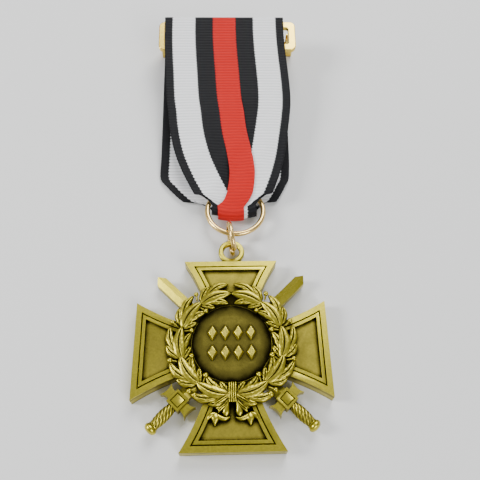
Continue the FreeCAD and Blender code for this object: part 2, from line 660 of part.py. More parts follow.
def make_brooch_needle():
    """The needle: an eye on the rivet, a straight wire and a point that rests in the catch."""
    tip_x = f"({FOOT_END} - needle_short)"
    eye = new_cylinder("needle_eye", "eye_radius", "2 * eye_half",
                       PIVOT_X, "needle_up - eye_half", "-needle_depth", ALONG_Y)
    start = f"({PIVOT_X} + eye_radius * 0.8)"
    wire = new_cylinder("needle_shaft", "needle_wire", f"{tip_x} - needle_point - {start}",
                        start, "needle_up", "-needle_depth", ALONG_X)
    point = doc.addObject("Part::Cone", "needle_taper")
    point.setExpression("Radius1", bound("needle_wire"))
    point.setExpression("Radius2", bound("needle_wire / 5"))
    point.setExpression("Height", bound("needle_point"))
    place(point, f"{tip_x} - needle_point", "needle_up", "-needle_depth", ALONG_X)
    solid = doc.addObject("Part::MultiFuse", "needle_solid")
    solid.Shapes = [eye, wire, point]
    hole = new_cylinder("needle_hole", "rivet_radius + rivet_gap", "4 * eye_half",
                        PIVOT_X, "needle_up - 2 * eye_half", "-needle_depth", ALONG_Y)
    needle = doc.addObject("Part::Cut", "brooch_needle")
    needle.Base = solid
    needle.Tool = hole
    needle.Label = "brooch_needle"
    place_on_frame(needle)
    return needle


# ------------------------------------------------------------------ ribbon
FRONT_W = "(frame_thick / 2 + ribbon_gap + ribbon_thick / 2)"
INNER_PLY_W = "(-frame_thick / 2 - ribbon_gap - ribbon_thick / 2)"
TAIL_PLY_W = f"({INNER_PLY_W} - ribbon_thick - ribbon_gap)"
BIGHT_Y = f"({LOOP_FOOT_Y} + 5.85)"
# half widths of the ribbon where it narrows towards the ring, as (distance above the fold, half width)
FRONT_WIDTHS = [(4.4, 9.0), (9.5, 11.1), (15.0, 12.8), (20.6, 13.7), (26.5, 14.5)]
REAR_WIDTHS = [(1.9, 8.6), (4.4, 10.9), (7.5, 13.2), (10.5, 14.7)]
FRONT_HEIGHTS = [(4.4, 4.5), (15.0, 5.0), (26.5, 5.9)]
FOLD_STEPS = 8


def on_frame(up, out):
    """A place in the frame's own plane, as table coordinates y and z."""
    tilt = math.radians(size("frame_tilt"))
    y = number_of(FRAME_Y) + up * math.cos(tilt) - out * math.sin(tilt)
    z = number_of(FRAME_Z) + up * math.sin(tilt) + out * math.cos(tilt)
    return y, z


def interpolate(table, place_along):
    """Straight-line reading of a table of pairs."""
    for (low, first), (high, second) in zip(table, table[1:]):
        if place_along <= high:
            share = max(0.0, (place_along - low) / (high - low))
            return first + share * (second - first)
    return table[-1][1]


def ribbon_stations():
    """The ribbon's middle line from its sewn end, over the frame, down the front, through the ring and up
    behind, as (y, z, half width)."""
    full = size("ribbon_width") / 2
    tail_w = number_of(TAIL_PLY_W)
    front_w = number_of(FRONT_W)
    fold_radius = (front_w - tail_w) / 2
    fold_up = size("frame_height") / 2 + 0.3
    stations = [(*on_frame(-size("tail_lap"), tail_w), full)]
    for step in range(FOLD_STEPS + 1):
        turn = math.pi * step / FOLD_STEPS
        up = fold_up + fold_radius * math.sin(turn)
        out = (front_w + tail_w) / 2 - fold_radius * math.cos(turn)
        stations.append((*on_frame(up, out), full))
    stations.append((*on_frame(-size("frame_height") / 2 - 1, front_w), full))
    bight_y = number_of(BIGHT_Y)
    radius = size("bight_radius")
    middle_z = radius + size("ribbon_thick") / 2 + 0.05
    front = [(0.5, size("gather_half"))] + FRONT_WIDTHS + [(33.0, full)]
    rear = [(0.5, size("gather_half"))] + REAR_WIDTHS + [(14.0, full)]
    heights = [(0.5, middle_z + radius)] + FRONT_HEIGHTS + [(37.0, 7.5)]
    for above, half in reversed(front):
        stations.append((bight_y + above, interpolate(heights, above), half))
    for step in range(FOLD_STEPS + 1):
        turn = math.pi * step / FOLD_STEPS
        y = bight_y - radius * math.sin(turn)
        stations.append((y, middle_z + radius * math.cos(turn), size("bight_half")))
    for above, half in rear:
        lift = max(0.0, above - 10.5) * 0.15
        stations.append((bight_y + above, middle_z - radius + lift, half))
    inner_w = number_of(INNER_PLY_W)
    stations.append((*on_frame(-size("tail_lap") - 1, inner_w), full))
    stations.append((*on_frame(size("frame_height") / 2 - 0.4, inner_w), full))
    return stations


def make_ribbon():
    """One strip of ribbon, gathered towards the ring, as a closed solid of constant thickness."""
    stations = ribbon_stations()
    half = size("ribbon_thick") / 2
    frame_y = number_of(FRAME_Y)
    bight_y = number_of(BIGHT_Y)
    sections = []
    for index, (y, z, wide) in enumerate(stations):
        before = stations[max(index - 1, 0)]
        after = stations[min(index + 1, len(stations) - 1)]
        run = Vector(0, after[0] - before[0], after[1] - before[1]).normalize()
        across = run.cross(Vector(1, 0, 0)) * half
        lean = (frame_y - y) / (frame_y - bight_y)
        middle = Vector(size("ribbon_side") + lean * (size("loop_side") - size("ribbon_side")), y, z)
        side = Vector(wide, 0, 0)
        corners = [middle - side - across, middle + side - across,
                   middle + side + across, middle - side + across]
        sections.append(Part.makePolygon(corners + corners[:1]))
    ribbon = doc.addObject("Part::Feature", "ribbon")
    ribbon.Shape = Part.makeLoft(sections, True, True)
    ribbon.Label = "ribbon"
    return ribbon


def make_ribbon_stitches():
    """The row of stitches that closes the ribbon's loop behind the frame."""
    stitches = []
    pitch = "(stitch_length + stitch_space)"
    for index in range(STITCHES):
        stitch = doc.addObject("Part::Box", f"stitch_{index + 1}")
        stitch.setExpression("Length", bound("stitch_length"))
        stitch.setExpression("Width", bound("stitch_thick"))
        stitch.setExpression("Height", bound("stitch_thick"))
        middle = f"ribbon_side - frame_side + {index - (STITCHES - 1) / 2} * {pitch}"
        place(stitch, f"{middle} - stitch_length / 2", "-tail_lap + 1.5",
              f"{TAIL_PLY_W} - ribbon_thick / 2 - stitch_thick")
        stitches.append(stitch)
    row = doc.addObject("Part::Compound", "ribbon_stitches")
    row.Links = stitches
    row.Label = "ribbon_stitches"
    place_on_frame(row)
    return row


# ------------------------------------------------------------------ build, check and write
PIECES = [
    make_cross_plate(),
    make_centre_disc(),
    make_wreath_branch("wreath_branch_right", 1),
    make_wreath_branch("wreath_branch_left", -1),
    make_wreath_tie(),
    make_wreath_bow(),
    make_sword("sword_right", size("sword_angle"), False),
    make_sword("sword_left", 180 - size("sword_angle"), True),
    make_eyelet(),
    make_jump_ring(),
    make_ribbon_ring(),
    make_ribbon(),
    make_ribbon_stitches(),
    make_brooch_frame(),
    make_hinge_bracket(),
    make_hinge_rivet(),
    make_brooch_needle(),
    make_needle_catch(),
]
doc.recompute()

for item in doc.Objects:
    if "Invalid" in item.State or "Error" in item.State:
        raise RuntimeError(f"{item.Name} is {item.State}")
for piece in PIECES:
    if piece.Shape.isNull() or not piece.Shape.isValid():
        raise RuntimeError(f"{piece.Label} has no valid shape")
    box = piece.Shape.BoundBox
    print(f"{piece.Label:20s} solids {len(piece.Shape.Solids):2d} volume {piece.Shape.Volume:9.2f}"
          f"  x {box.XMin:7.2f} {box.XMax:7.2f}  y {box.YMin:7.2f} {box.YMax:7.2f}"
          f"  z {box.ZMin:6.2f} {box.ZMax:6.2f}")
    piece.Shape.exportStep(f"parts/{piece.Label}.step")
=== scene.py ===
import math

import bmesh
import bpy
import numpy as np
from mathutils import Matrix, Vector


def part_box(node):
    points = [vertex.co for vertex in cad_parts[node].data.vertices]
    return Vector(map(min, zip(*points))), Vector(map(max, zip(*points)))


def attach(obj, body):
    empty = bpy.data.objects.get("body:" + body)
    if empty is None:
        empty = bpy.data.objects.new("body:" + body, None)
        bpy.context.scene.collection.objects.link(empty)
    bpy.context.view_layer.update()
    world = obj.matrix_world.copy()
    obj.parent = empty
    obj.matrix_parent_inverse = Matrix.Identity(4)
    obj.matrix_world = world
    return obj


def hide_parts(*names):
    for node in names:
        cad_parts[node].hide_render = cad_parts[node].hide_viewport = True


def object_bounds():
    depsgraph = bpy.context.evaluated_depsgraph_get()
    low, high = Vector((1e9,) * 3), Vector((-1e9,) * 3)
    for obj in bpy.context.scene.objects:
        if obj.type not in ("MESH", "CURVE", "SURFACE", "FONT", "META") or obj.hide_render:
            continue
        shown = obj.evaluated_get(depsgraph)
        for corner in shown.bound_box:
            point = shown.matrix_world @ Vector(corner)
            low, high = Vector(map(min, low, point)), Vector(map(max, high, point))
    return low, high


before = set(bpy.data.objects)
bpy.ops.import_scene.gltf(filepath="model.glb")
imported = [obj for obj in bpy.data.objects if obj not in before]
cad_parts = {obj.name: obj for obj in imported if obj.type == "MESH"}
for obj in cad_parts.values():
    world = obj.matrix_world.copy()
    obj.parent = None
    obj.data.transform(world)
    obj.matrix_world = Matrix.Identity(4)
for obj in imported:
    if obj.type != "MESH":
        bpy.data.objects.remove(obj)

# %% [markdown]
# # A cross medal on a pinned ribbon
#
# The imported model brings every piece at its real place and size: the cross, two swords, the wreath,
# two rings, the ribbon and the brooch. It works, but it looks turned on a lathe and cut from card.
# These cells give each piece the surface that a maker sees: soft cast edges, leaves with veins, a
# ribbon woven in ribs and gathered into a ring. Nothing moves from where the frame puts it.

MM = 0.001
cad_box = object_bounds()
print("CAD box", [[round(value, 4) for value in corner] for corner in cad_box])

# %% [markdown]
# ## The table, the light and the camera
#
# Brass is a mirror with dirt on it, so it shows the lamps more than its own colour. One broad lamp behind
# the medal is caught by the flat rims, a smaller one from the left draws the edges, and a third from
# the front keeps the hollows readable. A bare world would leave the metal black, so it glows a little.

# %% Table, lamps and camera
def make_table():
    """A plain pale table top, level with the lowest point of the medal."""
    size = 2.0
    level = cad_box[0][2] - 0.03 * MM
    mesh = bpy.data.meshes.new("table_top")
    corners = [(x * size, y * size, level) for x, y in ((-1, -1), (1, -1), (1, 1), (-1, 1))]
    mesh.from_pydata(corners, [], [(0, 1, 2, 3)])
    table = bpy.data.objects.new("table_top", mesh)
    bpy.context.collection.objects.link(table)
    paint = bpy.data.materials.new("table_paint")
    paint.use_nodes = True
    shader = paint.node_tree.nodes["Principled BSDF"]
    shader.inputs["Base Color"].default_value = (0.74, 0.74, 0.73, 1)
    shader.inputs["Roughness"].default_value = 0.7
    mesh.materials.append(paint)


def aim(thing, target):
    """Turns a lamp or camera to look at a point."""
    way = Vector(target) - thing.location
    thing.rotation_euler = way.to_track_quat("-Z", "Y").to_euler()


def make_lamp(name, place, width, watts):
    """A square soft lamp aimed at the middle of the medal."""
    data = bpy.data.lights.new(name, "AREA")
    data.size = width
    data.energy = watts
    lamp = bpy.data.objects.new(name, data)
    lamp.location = place
    bpy.context.collection.objects.link(lamp)
    aim(lamp, (0, 0.03, 0))


def make_world(strength):
    """An even surround, very slightly blue."""
    world = bpy.data.worlds.new("studio")
    world.use_nodes = True
    back = world.node_tree.nodes["Background"]
    back.inputs["Color"].default_value = (0.93, 0.96, 1.0, 1)
    back.inputs["Strength"].default_value = strength
    bpy.context.scene.world = world


def make_camera():
    """Looks down on the medal from its foot, thirty degrees off the upright."""
    data = bpy.data.cameras.new("camera")
    data.lens = 40.3
    data.clip_start = 0.005
    camera = bpy.data.objects.new("camera", data)
    right = Vector((0.99959, -0.02171, 0.01868))
    up = Vector((0.00942, 0.86516, 0.50141))
    back = right.cross(up)
    turn = Matrix((right, up, back)).transposed().to_4x4()
    camera.matrix_world = Matrix.Translation(Vector((-1.01, -33.20, 100.95)) * MM) @ turn
    bpy.context.collection.objects.link(camera)
    bpy.context.scene.camera = camera


make_table()
make_lamp("lamp_behind", (0.12, 0.42, 0.42), 0.34, 3.3)
make_lamp("lamp_left", (-0.42, 0.02, 0.30), 0.16, 2.2)
make_lamp("lamp_front", (0.28, -0.42, 0.40), 0.30, 2.7)
make_world(0.42)
make_camera()
print("camera", bpy.context.scene.camera.location)

# %% [markdown]
# ## Helpers for shader trees
#
# A material is a small graph. `put` places one node, sets it and wires it in one call, so each finish
# below reads from top to bottom like a recipe.

# %% Placing nodes
def put(tree, kind, settings=None, **wires):
    """Adds a node. wires maps a socket's name, with _ for a space, to a value or to another socket."""
    node = tree.nodes.new(kind)
    for name, value in (settings or {}).items():
        setattr(node, name, value)
    for name, value in wires.items():
        key = int(name[1:]) if name[0] == "i" and name[1:].isdigit() else name.replace("_", " ")
        socket = node.inputs[key]
        if isinstance(value, bpy.types.NodeSocket):
            tree.links.new(value, socket)
        else:
            socket.default_value = value
    return node


def mix(tree, share, first, second, blend="MIX"):
    """Mixes two colours and gives the result's socket."""
    node = put(tree, "ShaderNodeMix", {"data_type": "RGBA", "blend_type": blend}, i0=share, i6=first,
               i7=second)
    return node.outputs[2]


def calc(tree, operation, first, second=0.0, third=0.0, clamp=False):
    """One step of arithmetic on values."""
    node = put(tree, "ShaderNodeMath", {"operation": operation, "use_clamp": clamp}, i0=first, i1=second,
               i2=third)
    return node.outputs[0]


def ramp(tree, value, low, high):
    """Rises smoothly from 0 at low to 1 at high."""
    node = put(tree, "ShaderNodeMapRange", {"interpolation_type": "SMOOTHSTEP"},
               Value=value, From_Min=low, From_Max=high, To_Min=0.0, To_Max=1.0)
    return node.outputs[0]


def new_group(name, inputs, outputs):
    """An empty shader group with named sockets."""
    group = bpy.data.node_groups.new(name, "ShaderNodeTree")
    for socket, kind, value in inputs:
        made = group.interface.new_socket(socket, in_out="INPUT", socket_type=kind)
        made.default_value = value
    for socket, kind in outputs:
        group.interface.new_socket(socket, in_out="OUTPUT", socket_type=kind)
    return group


def new_material(name):
    """A material whose shader and output are ready to wire."""
    material = bpy.data.materials.new(name)
    material.use_nodes = True
    return material, material.node_tree, material.node_tree.nodes["Principled BSDF"]


# %% [markdown]
# ## Antiqued metal
#
# A cast medal is plated, dipped in dark patina and then rubbed. The dark stays where the cloth can't
# reach and the high edges come back bright. Two things say where that is: how much sky a point sees,
# which the ambient occlusion node measures, and a "recess" value that a modelled piece may carry for
# lines too fine to shade themselves. The group mixes three tones by both and adds the casting's grain.

# %% The antique finish as a group
def make_patina_group():
    """Gives the colour, roughness and height of rubbed metal."""
    group = new_group(
        "rubbed_patina",
        [
            ("Bright", "NodeSocketColor", (0.8, 0.7, 0.3, 1)),
            ("Middle", "NodeSocketColor", (0.4, 0.35, 0.14, 1)),
            ("Dark", "NodeSocketColor", (0.03, 0.025, 0.012, 1)),
            ("Reach", "NodeSocketFloat", 1.2 * MM),
            ("Grain", "NodeSocketFloat", 2600.0),
            ("Recess", "NodeSocketFloat", 0.0),
            ("Shine", "NodeSocketFloat", 0.3),
        ],
        [("Color", "NodeSocketColor"), ("Roughness", "NodeSocketFloat"), ("Height", "NodeSocketFloat")],
    )
    given = group.nodes.new("NodeGroupInput")
    place = put(group, "ShaderNodeTexCoord").outputs["Object"]
    open_sky = put(group, "ShaderNodeAmbientOcclusion", {"samples": 8},
                   Distance=given.outputs["Reach"]).outputs["AO"]
    patches = put(group, "ShaderNodeTexNoise", Vector=place, Scale=420.0, Detail=5.0,
                  Roughness=0.6).outputs[0]
    grain = put(group, "ShaderNodeTexNoise", Vector=place, Scale=given.outputs["Grain"],
                Detail=3.0).outputs[0]
    worn = calc(group, "SUBTRACT", open_sky, calc(group, "MULTIPLY", given.outputs["Recess"], 0.75))
    worn = calc(group, "ADD", worn, calc(group, "MULTIPLY", calc(group, "SUBTRACT", patches, 0.5), 0.35))
    low = mix(group, ramp(group, worn, 0.25, 0.62), given.outputs["Dark"], given.outputs["Middle"])
    tone = mix(group, ramp(group, worn, 0.6, 1.02), low, given.outputs["Bright"])
    speck = calc(group, "MULTIPLY_ADD", grain, 0.5, 0.75)
    tone = mix(group, 1.0, tone,
               put(group, "ShaderNodeCombineColor", Red=speck, Green=speck, Blue=speck).outputs[0],
               "MULTIPLY")
    dull = calc(group, "SUBTRACT", 1.0, ramp(group, worn, 0.3, 1.0))
    rough = calc(group, "MULTIPLY_ADD", dull, 0.4, given.outputs["Shine"])
    rough = calc(group, "ADD", rough, calc(group, "MULTIPLY", grain, 0.1), clamp=True)
    out = group.nodes.new("NodeGroupOutput")
    group.links.new(tone, out.inputs["Color"])
    group.links.new(rough, out.inputs["Roughness"])
    group.links.new(grain, out.inputs["Height"])
    return group


PATINA = make_patina_group()


def make_antique(name, bright, middle, dark, reach=1.2, shine=0.3, bump=0.012, recess=None, grain=2600.0):
    """A metal material on the rubbed patina group. recess is a function of the tree that gives a socket."""
    material, tree, shader = new_material(name)
    finish = put(tree, "ShaderNodeGroup", {"node_tree": PATINA}, Bright=(*bright, 1), Middle=(*middle, 1),
                 Dark=(*dark, 1), Reach=reach * MM, Grain=grain, Shine=shine)
    if recess:
        tree.links.new(recess(tree), finish.inputs["Recess"])
    dent = put(tree, "ShaderNodeBump", Height=finish.outputs["Height"], Strength=1.0, Distance=bump * MM)
    tree.links.new(finish.outputs["Color"], shader.inputs["Base Color"])
    tree.links.new(finish.outputs["Roughness"], shader.inputs["Roughness"])
    tree.links.new(dent.outputs[0], shader.inputs["Normal"])
    shader.inputs["Metallic"].default_value = 1.0
    return material


# %% [markdown]
# The finishes themselves. The cross is olive brass. Its sunk fields are darker than its rims, which is a
# rule about height, so the plate reads the height of each point above the table. The wreath and bow carry
# their own recess value along veins and folds. Rings, frame and needle are plain drawn metal.

# %% Metal finishes
OLIVE_BRIGHT = (0.50, 0.425, 0.042)
OLIVE_MIDDLE = (0.235, 0.197, 0.028)
OLIVE_DARK = (0.014, 0.0115, 0.002)


def carried_recess(tree):
    """The recess value that a modelled piece carries."""
    return put(tree, "ShaderNodeAttribute", {"attribute_name": "recess"}).outputs["Fac"]


def plate_recess(tree):
    """Dark in the sunk fields' edges and the groove, a little rubbed in the middle of each field."""
    place = put(tree, "ShaderNodeSeparateXYZ", Vector=put(tree, "ShaderNodeTexCoord").outputs["Object"])
    depth = ramp(tree, place.outputs[2], 2.95 * MM, 2.6 * MM)
    far = put(tree, "ShaderNodeVectorMath", {"operation": "LENGTH"},
              i0=put(tree, "ShaderNodeTexCoord").outputs["Object"]).outputs["Value"]
    rubbed = ramp(tree, far, 10.0 * MM, 15.0 * MM)
    top = ramp(tree, place.outputs[2], 1.5 * MM, 2.3 * MM)
    sunk = calc(tree, "MULTIPLY", depth, calc(tree, "MULTIPLY_ADD", rubbed, -0.35, 0.75))
    return calc(tree, "MULTIPLY", sunk, top)


plate_metal = make_antique("cross_metal", OLIVE_BRIGHT, OLIVE_MIDDLE, OLIVE_DARK, 0.9, 0.30,
                           recess=plate_recess)
relief_metal = make_antique("relief_metal", OLIVE_BRIGHT, OLIVE_MIDDLE, OLIVE_DARK, 1.1, 0.27,
                            recess=carried_recess)
sword_metal = make_antique("sword_metal", OLIVE_BRIGHT, OLIVE_MIDDLE, OLIVE_DARK, 1.0, 0.26)
disc_metal = make_antique("disc_metal", (0.215, 0.182, 0.03), (0.097, 0.082, 0.015), (0.010, 0.008, 0.002),
                          1.3, 0.42, 0.05, recess=carried_recess, grain=3800.0)
mark_metal = make_antique("mark_metal", (0.74, 0.63, 0.085), (0.36, 0.30, 0.03), OLIVE_DARK, 0.5, 0.24)
ring_metal = make_antique("ring_metal", (0.80, 0.56, 0.20), (0.52, 0.34, 0.10), (0.12, 0.07, 0.02), 0.5,
                          0.2, 0.004)
frame_metal = make_antique("frame_metal", (0.82, 0.60, 0.12), (0.54, 0.38, 0.07), (0.10, 0.07, 0.02), 0.6,
                           0.2, 0.004)
steel_metal = make_antique("steel_metal", (0.78, 0.77, 0.74), (0.5, 0.49, 0.47), (0.12, 0.11, 0.1), 0.4,
                           0.18, 0.003)
print("metal finishes", [m.name for m in bpy.data.materials if m.name.endswith("_metal")])

# %% [markdown]
# ## Pieces whose shape is already right
#
# The plate, the swords, the eyelet and the brooch need no new shape, but no casting or stamping has
# knife edges. Each is copied, its loose triangles are merged back into faces, and a small bevel rounds
# the edges so that they catch the light.

# %% Copies with soft edges
def finish_piece(mesh, name, material, body, *nodes, slot=None, smooth=40):
    """Makes a mesh a piece that rides on a body, and hides the CAD nodes that it stands in for."""
    piece = bpy.data.objects.new(name, mesh)
    bpy.context.collection.objects.link(piece)
    if material:
        mesh.materials.clear()
        mesh.materials.append(material)
    mesh.set_sharp_from_angle(angle=math.radians(smooth))
    for face in mesh.polygons:
        face.use_smooth = True
    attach(piece, body)
    if nodes:
        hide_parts(*nodes)
    return piece


def soft_copy(node, name, material, body, slot, width, segments=2, angle=25, cut=None):
    """A CAD node's own shape with rounded edges. cut gives a point and a direction to end it at."""
    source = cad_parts[node]
    form = bmesh.new()
    form.from_mesh(source.data)
    form.transform(source.matrix_world)
    bmesh.ops.remove_doubles(form, verts=form.verts, dist=0.002 * MM)
    if cut:
        parts = list(form.verts) + list(form.edges) + list(form.faces)
        bmesh.ops.bisect_plane(form, geom=parts, plane_co=cut[0], plane_no=cut[1], clear_outer=True)
        bmesh.ops.holes_fill(form, edges=[edge for edge in form.edges if edge.is_boundary])
    bmesh.ops.dissolve_limit(form, angle_limit=math.radians(1.0), verts=form.verts, edges=form.edges)
    mesh = bpy.data.meshes.new(name)
    form.to_mesh(mesh)
    form.free()
    piece = finish_piece(mesh, name, material, body, node, slot=slot)
    bevel = piece.modifiers.new("soft_edges", "BEVEL")
    bevel.width = width * MM
    bevel.segments = segments
    bevel.limit_method = "ANGLE"
    bevel.angle_limit = math.radians(angle)
    bevel.use_clamp_overlap = True
    bevel.harden_normals = True
    return piece


CROSSING = Vector((0, 0.4 * MM, 0))    # where the two blades cross
GRIP_START = 15.44                      # crossing to the grip, just inside the guard's block


def sword_way(hand):
    """The way from the crossing to the hilt. hand is +1 for the hilt on the right."""
    return Vector((hand, -1, 0)).normalized()


def sword_place(hand, distance):
    """A place on a sword's middle line, that far from the crossing towards the hilt."""
    return CROSSING + sword_way(hand) * distance * MM


soft_copy("cross_plate", "plate", plate_metal, "cross", "antique_brass", 0.09)
for sword, hand in (("sword_right", -1), ("sword_left", 1)):
    soft_copy(sword, sword + "_blade", sword_metal, "cross", "antique_brass", 0.06,
              cut=(sword_place(hand, GRIP_START), sword_way(hand)))
soft_copy("eyelet", "eyelet_ring", sword_metal, "cross", "antique_brass", 0.3, 4)
soft_copy("brooch_frame", "frame_strip", frame_metal, "brooch", "bright_brass", 0.28, 3)
soft_copy("hinge_bracket", "hinge_cheeks", frame_metal, "brooch", "bright_brass", 0.12)
soft_copy("needle_catch", "catch_leaves", frame_metal, "brooch", "bright_brass", 0.1)
soft_copy("hinge_rivet", "rivet", steel_metal, "brooch", "steel", 0.1)
soft_copy("brooch_needle", "needle_wire", steel_metal, "needle", "steel", 0.05)
print("soft copies made")

# %% [markdown]
# ## Shapes built from rows of points
#
# Leaves, bow tails, rings and the ribbon are all a grid of points bent into shape. `skin` joins rows of
# points into faces; a leaf closes it underneath, a wire closes it round.

# %% Grids of points
class Form:
    """Points, faces and one recess value per point, gathered from many small shapes."""

    def __init__(self):
        self.points = []
        self.faces = []
        self.recess = []

    def add(self, points, faces, recess):
        """Adds one shape."""
        start = len(self.points)
        self.points += [tuple(point) for point in points]
        self.faces += [tuple(start + corner for corner in face) for face in faces]
        self.recess += list(recess)

    def mesh(self, name):
        """The whole as a mesh with its normals outwards."""
        mesh = bpy.data.meshes.new(name)
        mesh.from_pydata([Vector(point) * MM for point in self.points], [], self.faces)
        layer = mesh.attributes.new("recess", "FLOAT", "POINT")
        layer.data.foreach_set("value", self.recess)
        form = bmesh.new()
        form.from_mesh(mesh)
        bmesh.ops.recalc_face_normals(form, faces=form.faces)
        form.to_mesh(mesh)
        form.free()
        return mesh


def skin(rows, columns, closed_rows=False, closed_columns=False):
    """Faces between rows of points."""
    faces = []
    for row in range(rows if closed_rows else rows - 1):
        for column in range(columns if closed_columns else columns - 1):
            here = row * columns
            there = (row + 1) % rows * columns
            beside = (column + 1) % columns
            faces.append((here + column, here + beside, there + beside, there + column))
    return faces


def add_pillow(form, rows, columns, point_at, foot):
    """A raised shape over a grid. point_at(along, across) gives x, y, z and recess, with across from -1 to 1;
    its underside is flat at foot."""
    top = []
    recess = []
    for row in range(rows):
        for column in range(columns):
            x, y, z, dark = point_at(row / (rows - 1), 2 * column / (columns - 1) - 1)
            top.append((x, y, z))
            recess.append(dark)
    bottom = [(x, y, foot) for x, y, z in top]
    count = rows * columns
    faces = skin(rows, columns)
    under = [tuple(count + corner for corner in reversed(face)) for face in faces]
    rim = list(range(columns))
    rim += [row * columns + columns - 1 for row in range(1, rows)]
    rim += [(rows - 1) * columns + column for column in range(columns - 2, -1, -1)]
    rim += [row * columns for row in range(rows - 2, 0, -1)]
    sides = [(rim[i - 1], rim[i], count + rim[i], count + rim[i - 1]) for i in range(len(rim))]
    form.add(top + bottom, faces + under + sides, recess + [1.0] * count)


def add_wire(form, path, radius, sides=12, closed=False, recess=0.0):
    """A round wire along a path, with domed ends."""
    path = [Vector(point) for point in path]
    count = len(path)
    points = []
    normal = None
    radii = [radius] * count
    if not closed:
        first = path[0] + (path[0] - path[1]).normalized() * radius * 0.5
        last = path[-1] + (path[-1] - path[-2]).normalized() * radius * 0.5
        path = [first] + path + [last]
        radii = [radius * 0.35] + radii + [radius * 0.35]
        count += 2
    for index, (point, thick) in enumerate(zip(path, radii)):
        before = path[index - 1] if index or closed else point
        after = path[(index + 1) % count] if index < count - 1 or closed else point
        way = (after - before).normalized()
        if normal is None:
            normal = way.orthogonal().normalized()
        normal = (normal - way * normal.dot(way)).normalized()
        side = way.cross(normal)
        for step in range(sides):
            turn = 2 * math.pi * step / sides
            points.append(point + (normal * math.cos(turn) + side * math.sin(turn)) * thick)
    faces = skin(count, sides, closed_rows=closed, closed_columns=True)
    if not closed:
        faces += [tuple(range(sides - 1, -1, -1)),
                  tuple((count - 1) * sides + step for step in range(sides))]
    form.add(points, faces, [recess] * len(points))


def smooth_step(value):
    """Rises from 0 to 1 with soft ends."""
    value = min(1.0, max(0.0, value))
    return value * value * (3 - 2 * value)


# %% [markdown]
# ## Hilts
#
# A bound grip swells in the middle and is wrapped in wire, which a casting shows as slanting ridges. They
# are eight equal spirals, and the two swords mirror each other. The knob is turned from the same axis.

# %% Grips and pommels
GRIP_END = 20.0
GRIP_SWELL = 1.15
GRIP_TAPER = 0.28
SPIRALS = 8
SPIRAL_TURNS = 5.5
HILT_LIFT = 1.85
KNOB_MIDDLE = 20.62
KNOB_HALF = 0.78
KNOB_RADIUS = 1.25


def add_turned(form, hand, profile, sides=48, spirals=0):
    """A shape turned about a sword's axis. profile gives the distance from the crossing and the radius."""
    way = sword_way(hand)
    left = Vector((-way.y, way.x, 0))
    points = []
    dark = []
    rows = len(profile)
    for row, (distance, radius) in enumerate(profile):
        middle = sword_place(hand, distance) / MM + Vector((0, 0, HILT_LIFT))
        for side in range(sides):
            turn = 2 * math.pi * side / sides
            ridge = 1.0
            if spirals:
                phase = spirals * turn + hand * 2 * math.pi * SPIRAL_TURNS * row / (rows - 1)
                ridge = abs(math.cos(phase / 2)) ** 0.7
            reach = radius * (1 - 0.15 * (1 - ridge))
            points.append(middle + (Vector((0, 0, 1)) * math.cos(turn) + left * math.sin(turn)) * reach)
            dark.append(1.0 - ridge)
    faces = skin(rows, sides, closed_columns=True)
    faces += [tuple(range(sides - 1, -1, -1)), tuple((rows - 1) * sides + side for side in range(sides))]
    form.add(points, faces, dark)


def make_hilt(name, hand):
    """Grip and pommel of one sword."""
    form = Form()
    grip = []
    for row in range(70):
        along = row / 69
        radius = GRIP_SWELL - GRIP_TAPER * (2 * along - 1) ** 2
        grip.append((GRIP_START - 0.05 + (GRIP_END - GRIP_START) * along, radius))
    add_turned(form, hand, grip, spirals=SPIRALS)
    knob = [(KNOB_MIDDLE - KNOB_HALF * math.cos(math.pi * step / 14),
             max(0.06, KNOB_RADIUS * math.sin(math.pi * step / 14) ** 0.85))
            for step in range(15)]
    collar = [(19.85, 0.9), (19.9, 1.0), (20.05, 1.0), (20.1, 0.9)]
    add_turned(form, hand, collar, 32)
    add_turned(form, hand, knob, 32)
    return finish_piece(form.mesh(name), name, relief_metal, "cross", slot="antique_brass", smooth=60)


for hilt_name, hand in (("hilt_of_right_sword", -1), ("hilt_of_left_sword", 1)):
    hilt = make_hilt(hilt_name, hand)
    print(hilt_name, len(hilt.data.polygons), "faces")

# %% [markdown]
# ## The wreath
#
# A laurel branch repeats: a large leaf lies along the ring, a smaller one curls out, another curls in, and
# berries stand on short stems between them. Five such groups make one side and the other side is its
# mirror. Places are given as an angle round the wreath's centre and a distance from it, because that is
# how a wreath is laid out. Every leaf is one grid: pointed at both ends, domed, with a sunk midrib and
# fine side veins, its tip turned up.

# %% Leaves
disc_low, disc_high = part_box("centre_disc")
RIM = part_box("cross_plate")[1][2] / MM
WREATH_Y = (disc_low[1] + disc_high[1]) / 2 / MM
WREATH_STARTS = (-84.0, -50.0, -17.0, 19.5, 54.5)
LEAF_ROWS = 22
LEAF_COLUMNS = 17


def on_wreath(hand, angle, radius):
    """A place on the wreath. hand is +1 on the right and -1 on the left."""
    turn = math.radians(angle)
    return hand * radius * math.cos(turn), WREATH_Y + radius * math.sin(turn)


